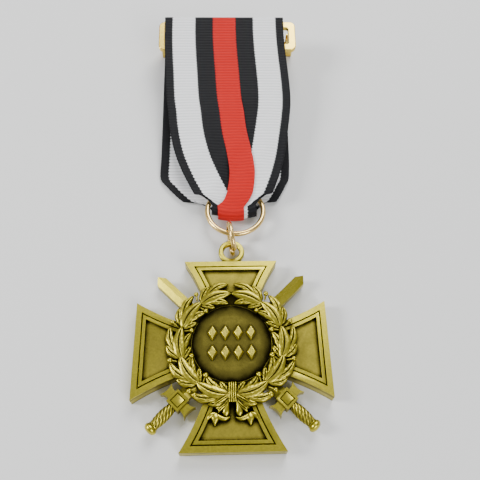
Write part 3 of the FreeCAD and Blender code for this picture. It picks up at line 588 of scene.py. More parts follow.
def add_leaf(form, hand, start, stop, half_width, height, bend=0.0, lift=0.0, veins=7, foot=0.3):
    """One leaf from start to stop, each an angle and a radius. bend bows it outwards, lift raises its tip."""
    def spine(along):
        angle = start[0] + (stop[0] - start[0]) * along
        radius = start[1] + (stop[1] - start[1]) * along + bend * math.sin(math.pi * along)
        return Vector(on_wreath(hand, angle, radius))

    def point_at(along, across):
        middle = spine(along)
        way = (spine(min(1.0, along + 0.02)) - spine(max(0.0, along - 0.02))).normalized()
        side = Vector((-way.y, way.x)) * hand
        wide = half_width * math.sin(math.pi * (0.05 + 0.95 * along) ** 0.85) ** 0.62
        wide = max(wide, 0.04) * (1 + 0.06 * math.sin(along * 17 + across))
        x, y = middle + side * across * wide
        dome = math.sqrt(max(0.0, 1 - (abs(across) * 0.985) ** 2.2))
        body = math.sin(math.pi * (0.08 + 0.88 * along)) ** 0.4
        rib = math.exp(-(across / 0.12) ** 2) * math.sin(math.pi * along) ** 0.4
        vein = 0.5 + 0.5 * math.cos(2 * math.pi * (veins * along - 1.4 * abs(across)))
        vein = vein ** 4 * (1 - rib) * math.sin(math.pi * along) * smooth_step((1 - abs(across)) * 3)
        z = RIM + foot + height * body * (0.2 + 0.8 * dome) - 0.26 * rib - 0.07 * vein
        z += lift * smooth_step((along - 0.55) / 0.45)
        z -= 0.22 * smooth_step((abs(across) - 0.82) / 0.18)
        dark = 0.95 * rib + 0.35 * vein + 0.5 * smooth_step((abs(across) - 0.78) * 5)
        return x, y, z, min(1.0, dark)

    add_pillow(form, LEAF_ROWS, LEAF_COLUMNS, point_at, RIM)


def add_band(form, hand):
    """The dark bed that the leaves grow from."""
    def point_at(along, across):
        x, y = on_wreath(hand, -84.5 + 174.3 * along, 9.0 + 1.3 * across)
        return x, y, RIM + 0.22, 1.0

    add_pillow(form, 60, 3, point_at, RIM)


def make_branch(name, hand, node):
    """One side of the wreath."""
    form = Form()
    add_band(form, hand)
    for group, start in enumerate(WREATH_STARTS):
        turn = 1.0 + 0.05 * (group % 2)
        add_leaf(form, hand, (start - 2, 9.6), (start + 11 * turn, 7.75), 0.62, 0.5, -0.1, 0.0, 4)
        add_leaf(form, hand, (start + 1, 10.3), (start + 15 * turn, 12.25), 0.72, 0.55, 0.3, 0.1, 4)
        add_leaf(form, hand, (start + 9, 10.5), (start + 33, 12.1), 0.86, 0.66, 0.4, -0.1, 5)
        add_leaf(form, hand, (start + 7, 9.2), (start + 31, 7.85), 0.8, 0.6, 0.25, 0.05, 5)
        add_leaf(form, hand, (start - 1, 9.75), (start + 35, 9.9), 1.34, 0.86, 0.15, 0.12, 7)
    add_leaf(form, hand, (-73, 10.0), (-58, 11.9), 0.74, 0.5, -0.15, 0.0, 4)
    for start in WREATH_STARTS[1:]:
        for angle, near, far in ((start - 2.5, 9.3, 8.0), (start + 0.5, 10.8, 12.0)):
            stem = [(*on_wreath(hand, angle - 3 + 3 * step / 5, near + (far - near) * step / 5),
                     RIM + 0.55 + 0.15 * step / 5) for step in range(6)]
            add_wire(form, stem, 0.17, 8, recess=0.2)
    mesh = form.mesh(name)
    return finish_piece(mesh, name, relief_metal, "cross", node, slot="antique_brass", smooth=55)


for branch_name, branch_hand, branch_node in (
    ("laurel_right", 1, "wreath_branch_right"),
    ("laurel_left", -1, "wreath_branch_left"),
):
    branch = make_branch(branch_name, branch_hand, branch_node)
    print(branch_name, len(branch.data.polygons), "faces")

# %% [markdown]
# ## Berries, from points
#
# Berries are the same ball many times over, which is what Geometry Nodes are for: the tree takes a mesh
# of loose points, sets one ball on each with its size picked by a fixed seed, then makes them real and
# gives them their metal. The result is taken as a plain mesh, because an export drops instances.

# %% Helpers for geometry trees
def new_tree(name, inputs):
    """A geometry tree that takes geometry and named sizes, and its input and output nodes."""
    tree = bpy.data.node_groups.new(name, "GeometryNodeTree")
    tree.interface.new_socket("Geometry", in_out="INPUT", socket_type="NodeSocketGeometry")
    for socket, kind, value in inputs:
        made = tree.interface.new_socket(socket, in_out="INPUT", socket_type=kind)
        made.default_value = value
    tree.interface.new_socket("Geometry", in_out="OUTPUT", socket_type="NodeSocketGeometry")
    return tree, tree.nodes.new("NodeGroupInput"), tree.nodes.new("NodeGroupOutput")


def grow(tree, name, base, material, values=None):
    """Runs a tree on a base mesh, with its inputs set by their identifiers, and gives a plain mesh."""
    holder = bpy.data.objects.new(name + "_points", base)
    bpy.context.collection.objects.link(holder)
    modifier = holder.modifiers.new("grow", "NODES")
    modifier.node_group = tree
    for item in tree.interface.items_tree:
        if item.in_out == "INPUT" and item.name in (values or {}):
            modifier[item.identifier] = values[item.name]
    graph = bpy.context.evaluated_depsgraph_get()
    mesh = bpy.data.meshes.new_from_object(holder.evaluated_get(graph))
    mesh.name = name
    holder.modifiers.clear()
    bpy.data.objects.remove(holder)
    if material.name not in [m.name for m in mesh.materials if m]:
        mesh.materials.append(material)
    return mesh


def make_berry_tree():
    """Balls on points, each a little larger or smaller."""
    tree, given, out = new_tree("berries", [
        ("Radius", "NodeSocketFloat", 0.4 * MM),
        ("Seed", "NodeSocketInt", 4),
    ])
    ball = put(tree, "GeometryNodeMeshIcoSphere", Radius=given.outputs["Radius"], Subdivisions=3)
    spread = put(tree, "FunctionNodeRandomValue", {"data_type": "FLOAT"}, i2=0.88, i3=1.12,
                 Seed=given.outputs["Seed"])
    set_out = put(tree, "GeometryNodeInstanceOnPoints", Points=given.outputs["Geometry"],
                  Instance=ball.outputs[0], Scale=spread.outputs[1])
    real = put(tree, "GeometryNodeRealizeInstances", Geometry=set_out.outputs[0])
    soft = put(tree, "GeometryNodeSetShadeSmooth", Geometry=real.outputs[0])
    metal = put(tree, "GeometryNodeSetMaterial", Geometry=soft.outputs[0], Material=relief_metal)
    tree.links.new(metal.outputs[0], out.inputs[0])
    return tree


def points_mesh(name, places):
    """A mesh of loose points, given in millimetres."""
    mesh = bpy.data.meshes.new(name)
    mesh.from_pydata([Vector(place) * MM for place in places], [], [])
    return mesh


# %% Berries of both branches
berry_places = []
for hand in (1, -1):
    for start in WREATH_STARTS[1:]:
        berry_places.append((*on_wreath(hand, start - 2.5, 7.95), RIM + 0.72))
        berry_places.append((*on_wreath(hand, start + 0.5, 12.0), RIM + 0.62))
    berry_places.append((*on_wreath(hand, -55.0, 12.0), RIM + 0.5))
berry_mesh = grow(make_berry_tree(), "berries", points_mesh("berry_points", berry_places), relief_metal,
                  {"Radius": 0.5 * MM})
finish_piece(berry_mesh, "berries", None, "cross", slot="antique_brass", smooth=60)
print("berries", len(berry_places))

# %% [markdown]
# ## Tie and bow
#
# Four turns of cord bind the two branches. The bow under them is a ribbon modelled in metal: on each side a
# loop, a short notched tail, a drop and a long tail that ends like a tulip. A modeller would press each
# from a strip of clay, so each is a raised strip along a curve, laid one on another from the lowest up.

# %% Tie and bow
tie_low, tie_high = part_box("wreath_binding")


def make_tie():
    """Upright cords side by side over a bed."""
    form = Form()
    left, right = tie_low[0] / MM, tie_high[0] / MM
    low, high = tie_low[1] / MM, tie_high[1] / MM
    top = tie_high[2] / MM
    cords = 4
    width = (right - left) / cords
    for cord in range(cords):
        x = left + (cord + 0.5) * width

        def point_at(along, across, x=x):
            y = low + (high - low) * along
            rise = math.sqrt(1 - across ** 2 * 0.97) * width * 0.62
            ends = math.sin(math.pi * (0.06 + 0.88 * along)) ** 0.25
            z = RIM + (top - RIM - width * 0.62) * ends + rise
            return x + across * width / 2, y, z, 0.9 * abs(across) ** 4

        add_pillow(form, 16, 9, point_at, RIM)
    return finish_piece(form.mesh("tie"), "tie", relief_metal, "cross", "wreath_binding",
                        slot="antique_brass")


def add_lobe(form, hand, spine, height, crease=0.0, notch=0.0):
    """A raised strip along a curve. spine lists x, y, the height of its edge and its half width; crease
    cuts two folds along it, and notch cuts a swallow tail in its end."""
    knots = [Vector(place) for place in spine]
    last = len(knots) - 1

    def read(along):
        place = min(along * last, last - 1e-6)
        k = int(place)
        share = place - k
        before, after = knots[max(k - 1, 0)], knots[min(k + 2, last)]
        start, stop = knots[k], knots[k + 1]
        return 0.5 * (2 * start + (stop - before) * share
                      + (2 * before - 5 * start + 4 * stop - after) * share ** 2
                      + (3 * start - before - 3 * stop + after) * share ** 3)

    def point_at(along, across):
        here = read(along)
        way = (read(min(1.0, along + 0.02)) - read(max(0.0, along - 0.02))).xy.normalized()
        side = Vector((-way.y, way.x))
        x, y = here.xy + side * across * max(here.w, 0.04)
        pull = notch * smooth_step((along - 0.75) / 0.25) * (1 - abs(across))
        x -= way.x * pull
        y -= way.y * pull
        fold = math.exp(-((abs(across) - 0.34) / 0.12) ** 2)
        fold = fold * smooth_step(along * 3) * smooth_step((1 - along) * 3)
        z = here.z + height * math.sqrt(max(0.0, 1 - (across * 0.98) ** 2)) - crease * fold
        dark = fold * crease * 4 + 0.5 * smooth_step((abs(across) - 0.8) * 5)
        return hand * x, y, z, min(1.0, dark)

    add_pillow(form, 28, 15, point_at, BOW_FOOT)


BOW_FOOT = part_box("wreath_bow")[0][2] / MM
BOW_TOP = tie_low[1] / MM
BOW_LOBES = (
    # tulip at the end of a tail: its middle, outer and inner petals
    (((3.05, -1.9, 0.35, 0.45), (3.1, -2.6, 0.5, 0.72), (3.15, -3.3, 0.35, 0.42), (3.15, -3.95, 0.1, 0.05)),
     0.4, 0.0, 0.0),
    (((3.1, -1.85, 0.3, 0.3), (3.75, -2.05, 0.45, 0.42), (4.25, -2.5, 0.4, 0.34), (4.55, -3.1, 0.15, 0.05)),
     0.35, 0.0, 0.0),
    (((3.0, -1.95, 0.3, 0.3), (2.25, -2.55, 0.4, 0.42), (1.35, -2.8, 0.4, 0.32), (0.5, -2.5, 0.2, 0.05)),
     0.35, 0.0, 0.0),
    # drop that hangs from the knot
    (((0.75, 0.1, 0.55, 0.2), (1.05, -0.8, 0.6, 0.42), (1.2, -1.6, 0.55, 0.62), (1.2, -2.15, 0.35, 0.42),
      (1.18, -2.4, 0.2, 0.08)), 0.42, 0.0, 0.0),
    # short tail with a notched end, and the loop above it
    (((0.7, 0.5, 0.7, 0.25), (1.45, -0.35, 0.8, 0.4), (2.15, -0.9, 0.75, 0.5), (2.85, -1.35, 0.5, 0.55)),
     0.36, 0.2, 0.35),
    (((0.55, 1.2, 0.85, 0.35), (1.3, 0.85, 1.0, 0.5), (2.1, 0.4, 1.0, 0.56), (2.85, -0.05, 0.85, 0.42),
      (3.5, -0.5, 0.6, 0.05)), 0.45, 0.22, 0.0),
)


def add_bow_side(form, hand):
    """All the lobes of one side, from the lowest to the topmost."""
    for spine, height, crease, notch in BOW_LOBES:
        placed = [(x, BOW_TOP + y, RIM - 0.35 + z, half) for x, y, z, half in spine]
        add_lobe(form, hand, placed, height, crease, notch)


make_tie()
bow_form = Form()
for hand in (1, -1):
    add_bow_side(bow_form, hand)
finish_piece(bow_form.mesh("bow"), "bow", relief_metal, "cross", "wreath_bow", slot="antique_brass",
             smooth=55)
print("bow", len(bow_form.faces), "faces")

# %% [markdown]
# ## The disc and its lozenges
#
# The face inside the wreath is a dark pebbled disc. Two rows of four raised lozenges stand where such a
# disc carries its marks. A blunt cone with four sides is a lozenge, so a grid of points with a cone on each
# makes both rows.

# %% Disc
disc_radius = (disc_high[0] - disc_low[0]) / 2 / MM
DISC_TOP = RIM + 0.25


def make_disc():
    """A flat face, very slightly domed, that drops at its edge."""
    form = Form()
    rings = [(0.0, 0.0), (0.35, -0.005), (0.7, -0.02), (0.9, -0.05), (0.95, -0.07), (0.985, -0.1),
             (1.0, -0.2), (1.0, -0.25)]
    sides = 96
    points = []
    recess = []
    for share, rise in rings[1:]:
        for step in range(sides):
            turn = 2 * math.pi * step / sides
            x = disc_radius * share * math.cos(turn)
            y = WREATH_Y + disc_radius * share * math.sin(turn)
            points.append((x, y, DISC_TOP + rise))
            recess.append(0.35 + 0.5 * smooth_step((share - 0.7) / 0.3))
    rows = len(rings) - 1
    faces = skin(rows, sides, closed_columns=True)
    centre = len(points)
    points += [(0, WREATH_Y, DISC_TOP), (0, WREATH_Y, RIM)]
    recess += [0.35, 1.0]
    faces += [(centre, step, (step + 1) % sides) for step in range(sides)]
    last = (rows - 1) * sides
    faces += [(centre + 1, last + (step + 1) % sides, last + step) for step in range(sides)]
    form.add(points, faces, recess)
    return finish_piece(form.mesh("disc_face"), "disc_face", disc_metal, "cross", "centre_disc",
                        slot="dark_patina")


def make_lozenge_tree():
    """A grid of four-sided cones."""
    tree, given, out = new_tree("lozenges", [
        ("Pitch", "NodeSocketFloat", 2.45 * MM),
        ("Row Pitch", "NodeSocketFloat", 3.9 * MM),
        ("Width", "NodeSocketFloat", 1.08),
        ("Length", "NodeSocketFloat", 1.72),
        ("Height", "NodeSocketFloat", 0.6 * MM),
    ])
    span = put(tree, "ShaderNodeMath", {"operation": "MULTIPLY"}, i0=given.outputs["Pitch"], i1=3.0)
    grid = put(tree, "GeometryNodeMeshGrid", Size_X=span.outputs[0], Size_Y=given.outputs["Row Pitch"],
               Vertices_X=4, Vertices_Y=2)
    cone = put(tree, "GeometryNodeMeshCone", {"fill_type": "NGON"}, Vertices=4, Radius_Top=0.66 * MM,
               Radius_Bottom=1.0 * MM, Depth=given.outputs["Height"])
    size = put(tree, "ShaderNodeCombineXYZ", X=given.outputs["Width"], Y=given.outputs["Length"], Z=1.0)
    set_out = put(tree, "GeometryNodeInstanceOnPoints", Points=grid.outputs[0], Instance=cone.outputs[0],
                  Scale=size.outputs[0])
    lift = put(tree, "GeometryNodeTransform", Geometry=set_out.outputs[0],
               Translation=(0, WREATH_Y * MM, (DISC_TOP - 0.02) * MM))
    real = put(tree, "GeometryNodeRealizeInstances", Geometry=lift.outputs[0])
    metal = put(tree, "GeometryNodeSetMaterial", Geometry=real.outputs[0], Material=mark_metal)
    tree.links.new(metal.outputs[0], out.inputs[0])
    return tree


make_disc()
lozenge_mesh = grow(make_lozenge_tree(), "lozenges", points_mesh("lozenge_points", [(0, 0, 0)]), mark_metal)
lozenges = finish_piece(lozenge_mesh, "lozenges", None, "cross", slot="antique_brass", smooth=20)
edges = lozenges.modifiers.new("soft_edges", "BEVEL")
edges.width = 0.07 * MM
edges.segments = 2
print("lozenges", len(lozenge_mesh.polygons), "faces")

# %% [markdown]
# ## Rings
#
# Both rings are bent from round wire. The large one closes neatly under the ribbon. The small one is
# squeezed shut with pliers and never quite meets, so its ends stand a little to the side of each other.

# %% Rings
ring_low, ring_high = (Vector(corner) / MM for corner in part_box("ribbon_ring"))
jump_low, jump_high = (Vector(corner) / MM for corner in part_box("jump_ring"))
LOOP_WIRE = 0.55
JUMP_WIRE = 0.5
JUMP_YAW = math.radians(8.0)
JUMP_CUT = math.radians(165)


def make_ribbon_ring():
    """The large ring, tipped as the frame has it."""
    middle = (ring_low + ring_high) / 2
    radius = (ring_high.x - ring_low.x) / 2 - LOOP_WIRE
    tilt = math.atan2((ring_high.z - ring_low.z) / 2 - LOOP_WIRE, radius)
    path = []
    for step in range(96):
        turn = 2 * math.pi * step / 96
        x = radius * math.cos(turn)
        y = radius * math.sin(turn)
        path.append(middle + Vector((x, y * math.cos(tilt), -y * math.sin(tilt))))
    form = Form()
    add_wire(form, path, LOOP_WIRE, 20, closed=True)
    return finish_piece(form.mesh("large_ring"), "large_ring", ring_metal, "ribbon_ring", "ribbon_ring",
                        slot="ring_brass", smooth=60)


def make_jump_ring():
    """The small ring on edge; its path slips sideways over one turn so that the ends pass each other."""
    middle = (jump_low + jump_high) / 2
    radius = (jump_high.z - jump_low.z) / 2 - JUMP_WIRE
    path = []
    for step in range(81):
        share = step / 80
        turn = JUMP_CUT + 0.04 + (2 * math.pi - 0.08) * share
        slip = (share - 0.5) * 0.5 * abs(2 * share - 1) ** 3
        along = radius * math.cos(turn)
        across = Vector((math.cos(JUMP_YAW), math.sin(JUMP_YAW), 0)) * slip
        round_ring = Vector((-along * math.sin(JUMP_YAW), along * math.cos(JUMP_YAW), radius * math.sin(turn)))
        path.append(middle + round_ring + across)
    form = Form()
    add_wire(form, path, JUMP_WIRE, 18)
    return finish_piece(form.mesh("small_ring"), "small_ring", ring_metal, "jump_ring", "jump_ring",
                        slot="ring_brass", smooth=60)


make_ribbon_ring()
make_jump_ring()
print("rings at", [round(v, 2) for v in (ring_low + ring_high) / 2],
      [round(v, 2) for v in (jump_low + jump_high) / 2])

# %% [markdown]
# ## Ribbon: where it runs
#
# One strip 30 mm wide. Its sewn end lies behind the frame, it folds over the frame's top bar, comes down
# the front, is gathered into the ring, turns back through it and rises behind to the seam. Its pleats are
# folds that someone chose, so the strip is laid out from a list: first its middle line as a side view, then,
# for each place along it, how much cloth is tucked away on either side of the red stripe.

# %% The ribbon's middle line
FRAME_TILT = math.radians(11.5)
frame_low, frame_high = (Vector(corner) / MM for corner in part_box("brooch_frame"))
FRAME_MIDDLE = (frame_low + frame_high) / 2
RIBBON_WIDTH = 30.0
RIBBON_SIDE = -0.8      # its middle at the frame, to the right of the cross
FRONT_OUT = 1.0         # middle of the frame to the front ply, the inner ply and the sewn end
INNER_PLY = -1.0
TAIL_PLY = -1.7
BIGHT = Vector((31.0, 2.15))
BIGHT_RADIUS = 1.8


def on_frame(up, out):
    """A place in the tipped frame's own plane, as y and z."""
    y = FRAME_MIDDLE.y + up * math.cos(FRAME_TILT) - out * math.sin(FRAME_TILT)
    z = FRAME_MIDDLE.z + up * math.sin(FRAME_TILT) + out * math.cos(FRAME_TILT)
    return y, z


# each place: y, z, middle to the right, cloth tucked in on the left and on the right of the red stripe
def ribbon_places():
    """Places along the ribbon from its sewn end to its inner end."""
    fold_up = 4.55
    fold = (FRONT_OUT - TAIL_PLY) / 2
    plain = (RIBBON_SIDE, 0, 0)
    places = [(*on_frame(-9.0, TAIL_PLY), *plain), (*on_frame(-3.0, TAIL_PLY), *plain)]
    for step in range(9):
        turn = math.pi * step / 8
        places.append((*on_frame(fold_up + fold * math.sin(turn),
                                 (FRONT_OUT + TAIL_PLY) / 2 - fold * math.cos(turn)), *plain))
    places += [(*on_frame(0, FRONT_OUT), *plain), (*on_frame(-5.25, FRONT_OUT), -0.6, 0, 0)]
    places += [
        (68.0, 7.45, -0.2, 0.0, 0.0),
        (62.5, 6.6, 0.05, 0.0, 0.25),
        (57.5, 5.95, 0.2, 0.05, 1.0),
        (51.6, 5.4, 0.1, 0.25, 2.4),
        (46.0, 5.0, 0.2, 0.5, 4.3),
        (40.5, 4.75, 0.5, 1.6, 6.3),
        (35.5, 4.5, 0.8, 4.4, 7.6),
        (32.6, 4.2, 0.85, 7.0, 8.2),
    ]
    for step in range(9):
        turn = math.pi * step / 8
        places.append((BIGHT.x - BIGHT_RADIUS * math.sin(turn), BIGHT.y + BIGHT_RADIUS * math.cos(turn),
                       0.95, 10.8, 9.4))
    places += [
        (32.8, 0.45, 0.5, 7.0, 6.4),
        (35.3, 0.5, -0.05, 3.6, 4.6),
        (38.5, 0.55, -0.65, 1.5, 2.1),
        (41.5, 0.6, -1.0, 0.2, 0.4),
        (46.5, 1.3, -0.85, 0.0, 0.0),
        (57.5, 3.35, *plain),
        (*on_frame(-10.0, INNER_PLY), *plain),
        (*on_frame(-3.0, INNER_PLY), *plain),
        (*on_frame(3.85, INNER_PLY), *plain),
    ]
    return places


def follow(places, spacing):
    """A smooth curve through the places, read at even spacing."""
    knots = np.array(places, dtype=float)
    steps = np.linalg.norm(np.diff(knots[:, :2], axis=0), axis=1)
    at = np.concatenate([[0], np.cumsum(steps ** 0.5)])
    slope = np.zeros_like(knots)
    for k in range(len(knots)):
        before, after = max(k - 1, 0), min(k + 1, len(knots) - 1)
        slope[k] = (knots[after] - knots[before]) / (at[after] - at[before])
    dense = []
    for k in range(len(knots) - 1):
        span = at[k + 1] - at[k]
        for share in np.linspace(0, 1, 60, endpoint=False):
            a = 2 * share ** 3 - 3 * share ** 2 + 1
            b = share ** 3 - 2 * share ** 2 + share
            c = -2 * share ** 3 + 3 * share ** 2
            d = share ** 3 - share ** 2
            dense.append(a * knots[k] + b * span * slope[k] + c * knots[k + 1] + d * span * slope[k + 1])
    dense.append(knots[-1])
    dense = np.array(dense)
    run = np.concatenate([[0], np.cumsum(np.linalg.norm(np.diff(dense[:, :2], axis=0), axis=1))])
    count = int(run[-1] / spacing)
    even = np.linspace(0, run[-1], count + 1)
    return np.stack([np.interp(even, run, dense[:, k]) for k in range(5)], axis=1), run[-1]


RIB_PITCH = 0.8
ribbon_line, ribbon_length = follow(ribbon_places(), RIB_PITCH / 4)
print("ribbon", round(ribbon_length, 1), "mm long in", len(ribbon_line), "rows")

# %% [markdown]
# ## Ribbon: laying the cloth
#
# Across the strip every point keeps its own distance from the left edge, so the stripes stay true. Where
# cloth is tucked away it runs back under the red stripe and out again, one thickness lower each time.
# Only the sideways place and the height change, so the woven length is kept. The ribs are raised for real.

# %% The ribbon's surface
PLEAT_LEFT = 12.15
PLEAT_RIGHT = 17.85
PLY = 0.2
COLUMNS = 76
RIB_HEIGHT = 0.035
EDGE_SCALLOP = 0.05


def tucked(distance, taken):
    """Where cloth lies that starts at the pleat's edge: how far out from that edge, and how deep."""
    if taken < 1e-6:
        return distance, 0.0
    formed = smooth_step(taken / 1.2)
    half = taken / 2
    if distance < half:
        return -distance * formed + distance * (1 - formed), -PLY * formed * smooth_step(distance / 0.35)
    if distance < taken:
        back = distance - half
        out = -half * formed + back
        return out, -PLY * formed * (1 + smooth_step(back / 0.35))
    return distance - taken * (1 + formed) / 2, -2 * PLY * formed


def lay_across(taken_left, taken_right):
    """The sideways place and depth of each column."""
    spots = []
    for column in range(COLUMNS + 1):
        across = RIBBON_WIDTH * column / COLUMNS
        if across > PLEAT_RIGHT:
            out, deep = tucked(across - PLEAT_RIGHT, taken_right)
            past = max(0.0, across - PLEAT_RIGHT - taken_right)
            spots.append((PLEAT_RIGHT + out, deep * (1 - 0.5 * smooth_step(past / 4))))
        elif across < PLEAT_LEFT:
            out, deep = tucked(PLEAT_LEFT - across, taken_left)
            deep -= 2 * PLY * smooth_step(taken_left / 1.5) * smooth_step((PLEAT_LEFT - across) / 0.5)
            past = max(0.0, PLEAT_LEFT - across - taken_left)
            spots.append((PLEAT_LEFT - out, deep * (1 - 0.6 * smooth_step(past / 4))))
        else:
            spots.append((across, 0.0))
    middle = (min(x for x, z in spots) + max(x for x, z in spots)) / 2
    return [(x - middle, z) for x, z in spots]


def soften(x, y, z):
    """How far the free front ply swells out and ripples between the frame and the ring."""
    if z < BIGHT.y:
        return 0.0
    free = smooth_step((y - 33) / 14) * smooth_step((71 - y) / 16)
    near = smooth_step((y - 32) / 6) * smooth_step((56 - y) / 14)
    swell = 0.55 * free * (1 - (x / 15) ** 2)
    ripple = 0.2 * near * math.sin(0.55 * x + 0.25 * y) + 0.12 * near * math.sin(0.9 * x - 0.4 * y + 1.0)
    return swell + ripple


def make_ribbon():
    """The whole strip as one sheet with real thickness."""
    rows = len(ribbon_line)
    points = []
    for row, (y, z, centre, left, right) in enumerate(ribbon_line):
        before = ribbon_line[max(row - 1, 0)]
        after = ribbon_line[min(row + 1, rows - 1)]
        way = np.array([after[0] - before[0], after[1] - before[1]])
        way /= np.linalg.norm(way)
        out = Vector((0, way[1], -way[0]))
        rib = RIB_HEIGHT * math.cos(2 * math.pi * row / 4)
        near = smooth_step(1 - abs(y - BIGHT.x) / 4.0)
        for column, (x, deep) in enumerate(lay_across(left, right)):
            place = Vector((centre + x, y, z)) + out * (deep + rib + soften(x, y, z))
            place.y += near * 0.055 * x * x
            if column in (0, COLUMNS):
                place.x += EDGE_SCALLOP * math.cos(2 * math.pi * row / 4) * (1 if column else -1)
            points.append(place)
    mesh = bpy.data.meshes.new("ribbon_strip")
    mesh.from_pydata([point * MM for point in points], [], skin(rows, COLUMNS + 1))
    layer = mesh.uv_layers.new(name="weave")
    at = np.empty(len(mesh.loops), dtype=np.int32)
    mesh.loops.foreach_get("vertex_index", at)
    flat = np.stack([(at % (COLUMNS + 1)) / COLUMNS, (at // (COLUMNS + 1)) * 0.25], axis=1)
    layer.data.foreach_set("uv", flat.astype(np.float32).ravel())
    return mesh


# %% [markdown]
# The weave is drawn on the strip's own coordinates: across in shares of the width, along in ribs. Each
# stripe's border steps in and out once a rib, because a weft thread passes over whole warp threads, and
# fine warp threads show between the ribs. The colour is also darkened in each rib's hollow and between the
# threads: painted shade over the ribs that are raised for real.

# %% Ribbon cloth
STRIPES = (2.0, 7.65, 12.15, 17.85, 22.35, 28.0)


def make_weave_group():
    """Colour mask, height and painted rib shade of a ribbed weave on the strip's own coordinates."""
    group = new_group("ribbed_weave",
                      [("Threads", "NodeSocketFloat", 90.0), ("Scallop", "NodeSocketFloat", 0.1)],
                      [("Across", "NodeSocketFloat"), ("Height", "NodeSocketFloat"),
                       ("Shade", "NodeSocketFloat")])
    given = group.nodes.new("NodeGroupInput")
    weave = put(group, "ShaderNodeSeparateXYZ",
                Vector=put(group, "ShaderNodeUVMap", {"uv_map": "weave"}).outputs[0])
    across = calc(group, "MULTIPLY", weave.outputs[0], RIBBON_WIDTH)
    turns = calc(group, "MULTIPLY", weave.outputs[1], 2 * math.pi)
    rib = calc(group, "COSINE", turns)
    step = calc(group, "MULTIPLY", rib, given.outputs["Scallop"])
    wander = put(group, "ShaderNodeTexNoise",
                 Vector=put(group, "ShaderNodeUVMap", {"uv_map": "weave"}).outputs[0],
                 Scale=9.0, Detail=2.0).outputs[0]
    step = calc(group, "ADD", step, calc(group, "MULTIPLY", calc(group, "SUBTRACT", wander, 0.5), 0.16))
    thread = calc(group, "COSINE", calc(group, "MULTIPLY", weave.outputs[0],
                                        calc(group, "MULTIPLY", given.outputs["Threads"], 2 * math.pi)))
    fine = calc(group, "MULTIPLY", calc(group, "MULTIPLY_ADD", rib, 0.35, 0.65),
                calc(group, "ABSOLUTE", thread))
    out = group.nodes.new("NodeGroupOutput")
    group.links.new(calc(group, "ADD", across, step), out.inputs["Across"])
    group.links.new(fine, out.inputs["Height"])
    # Shade is the rib's phase, low in its hollow; the cloth uses it as painted shade
    group.links.new(calc(group, "MULTIPLY_ADD", rib, 0.5, 0.5), out.inputs["Shade"])
    return group


def make_cloth():
    """Black, white and red stripes in ribbed silk, with painted shade in each rib's hollow and between the
    threads.
    """
    material, tree, shader = new_material("striped_silk")
    weave = put(tree, "ShaderNodeGroup", {"node_tree": make_weave_group()}, Threads=95.0, Scallop=0.12)
    black, white, red = (0.0035, 0.0035, 0.005, 1), (0.97, 0.97, 0.98, 1), (0.60, 0.007, 0.004, 1)
    tones = [black, white, black, red, black, white, black]
    colour = tones[0]
    for border, tone in zip(STRIPES, tones[1:]):
        over = ramp(tree, weave.outputs["Across"], border - 0.04, border + 0.04)
        colour = mix(tree, over, colour, tone)
    # painted shade: the colour darkens in each rib's hollow and between the fine threads, over the ribs that
    # the mesh and the bump already raise
    deep = calc(tree, "MULTIPLY_ADD", weave.outputs["Shade"], 0.22, 0.80)
    deep = calc(tree, "MULTIPLY", deep, calc(tree, "MULTIPLY_ADD", weave.outputs["Height"], 0.12, 0.88))
    shade = put(tree, "ShaderNodeCombineColor", Red=deep, Green=deep, Blue=deep).outputs[0]
    colour = mix(tree, 1.0, colour, shade, "MULTIPLY")
    tree.links.new(colour, shader.inputs["Base Color"])
    dent = put(tree, "ShaderNodeBump", Height=weave.outputs["Height"], Strength=0.8, Distance=0.05 * MM)
    tree.links.new(dent.outputs[0], shader.inputs["Normal"])
    shader.inputs["Roughness"].default_value = 0.62
    shader.inputs["Specular IOR Level"].default_value = 0.22
    shader.inputs["Sheen Weight"].default_value = 0.03
    shader.inputs["Sheen Roughness"].default_value = 0.4
    return material


cloth = make_cloth()
ribbon = finish_piece(make_ribbon(), "ribbon_strip", cloth, "brooch", "ribbon", slot="ribbon_cloth",
                      smooth=80)
thickness = ribbon.modifiers.new("cloth_thickness", "SOLIDIFY")
thickness.thickness = 0.16 * MM
thickness.offset = 0.0
print("ribbon", len(ribbon.data.polygons), "faces")

# %% [markdown]
# ## The seam
#
# A row of black stitches closes the loop behind the frame. Each is a short plump bar of thread, the same
# shape a dozen times, so a line of points carries them.

# %% Stitches
stitch_low, stitch_high = (Vector(corner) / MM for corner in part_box("ribbon_stitches"))


def make_thread():
    """Black sewing thread with a twist, with painted shade in the twist's grooves and a painted highlight on
    its ridges.
    """
    material, tree, shader = new_material("black_thread")
    place = put(tree, "ShaderNodeTexCoord").outputs["Object"]
    twist = put(tree, "ShaderNodeTexWave", {"bands_direction": "DIAGONAL"}, Vector=place, Scale=2400.0,
                Distortion=0.6)
    # painted shade and highlight: the colour follows the twist's bands, darker in its grooves and lighter on
    # its ridges, the same bands that the bump raises
    tone = mix(tree, twist.outputs[1], (0.008, 0.008, 0.01, 1), (0.05, 0.05, 0.055, 1))
    dent = put(tree, "ShaderNodeBump", Height=twist.outputs[1], Distance=0.04 * MM)
    tree.links.new(tone, shader.inputs["Base Color"])
    tree.links.new(dent.outputs[0], shader.inputs["Normal"])
    shader.inputs["Roughness"].default_value = 0.55
    return material


thread = make_thread()


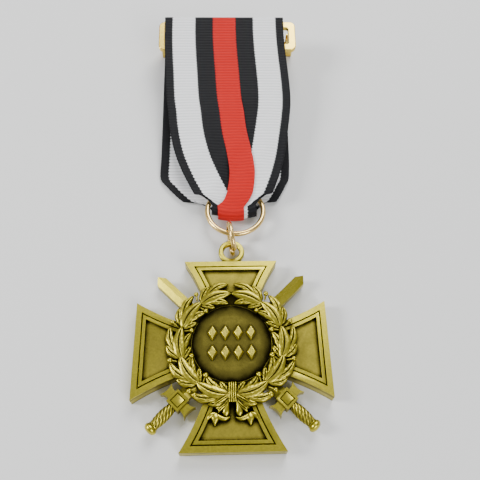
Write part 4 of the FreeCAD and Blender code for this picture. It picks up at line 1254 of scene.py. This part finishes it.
def make_stitch_tree():
    """Plump bars along a line of points."""
    tree, given, out = new_tree("stitches", [
        ("Count", "NodeSocketInt", 12),
        ("Length", "NodeSocketFloat", 1.5 * MM),
        ("Pitch", "NodeSocketFloat", 2.4 * MM),
        ("Thread", "NodeSocketFloat", 0.17 * MM),
    ])
    span = put(tree, "ShaderNodeMath", {"operation": "MULTIPLY"}, i0=given.outputs["Pitch"], i1=5.5)
    start = put(tree, "ShaderNodeMath", {"operation": "MULTIPLY"}, i0=span.outputs[0], i1=-1.0)
    first = put(tree, "ShaderNodeCombineXYZ", X=start.outputs[0])
    step = put(tree, "ShaderNodeCombineXYZ", X=given.outputs["Pitch"])
    line = put(tree, "GeometryNodeMeshLine", Count=given.outputs["Count"], Start_Location=first.outputs[0],
               Offset=step.outputs[0])
    bar = put(tree, "GeometryNodeMeshUVSphere", Segments=12, Rings=8, Radius=1.0)
    half = put(tree, "ShaderNodeMath", {"operation": "MULTIPLY"}, i0=given.outputs["Length"], i1=0.5)
    size = put(tree, "ShaderNodeCombineXYZ", X=half.outputs[0], Y=given.outputs["Thread"],
               Z=given.outputs["Thread"])
    set_out = put(tree, "GeometryNodeInstanceOnPoints", Points=line.outputs[0], Instance=bar.outputs[0],
                  Scale=size.outputs[0])
    middle = (stitch_low + stitch_high) / 2 * MM
    put_there = put(tree, "GeometryNodeTransform", Geometry=set_out.outputs[0], Translation=tuple(middle))
    real = put(tree, "GeometryNodeRealizeInstances", Geometry=put_there.outputs[0])
    soft = put(tree, "GeometryNodeSetShadeSmooth", Geometry=real.outputs[0])
    black = put(tree, "GeometryNodeSetMaterial", Geometry=soft.outputs[0], Material=thread)
    tree.links.new(black.outputs[0], out.inputs[0])
    return tree


stitch_mesh = grow(make_stitch_tree(), "seam_stitches", points_mesh("stitch_points", [(0, 0, 0)]), thread)
finish_piece(stitch_mesh, "seam_stitches", None, "brooch", "ribbon_stitches", slot="thread", smooth=60)
print("stitches", len(stitch_mesh.polygons), "faces")
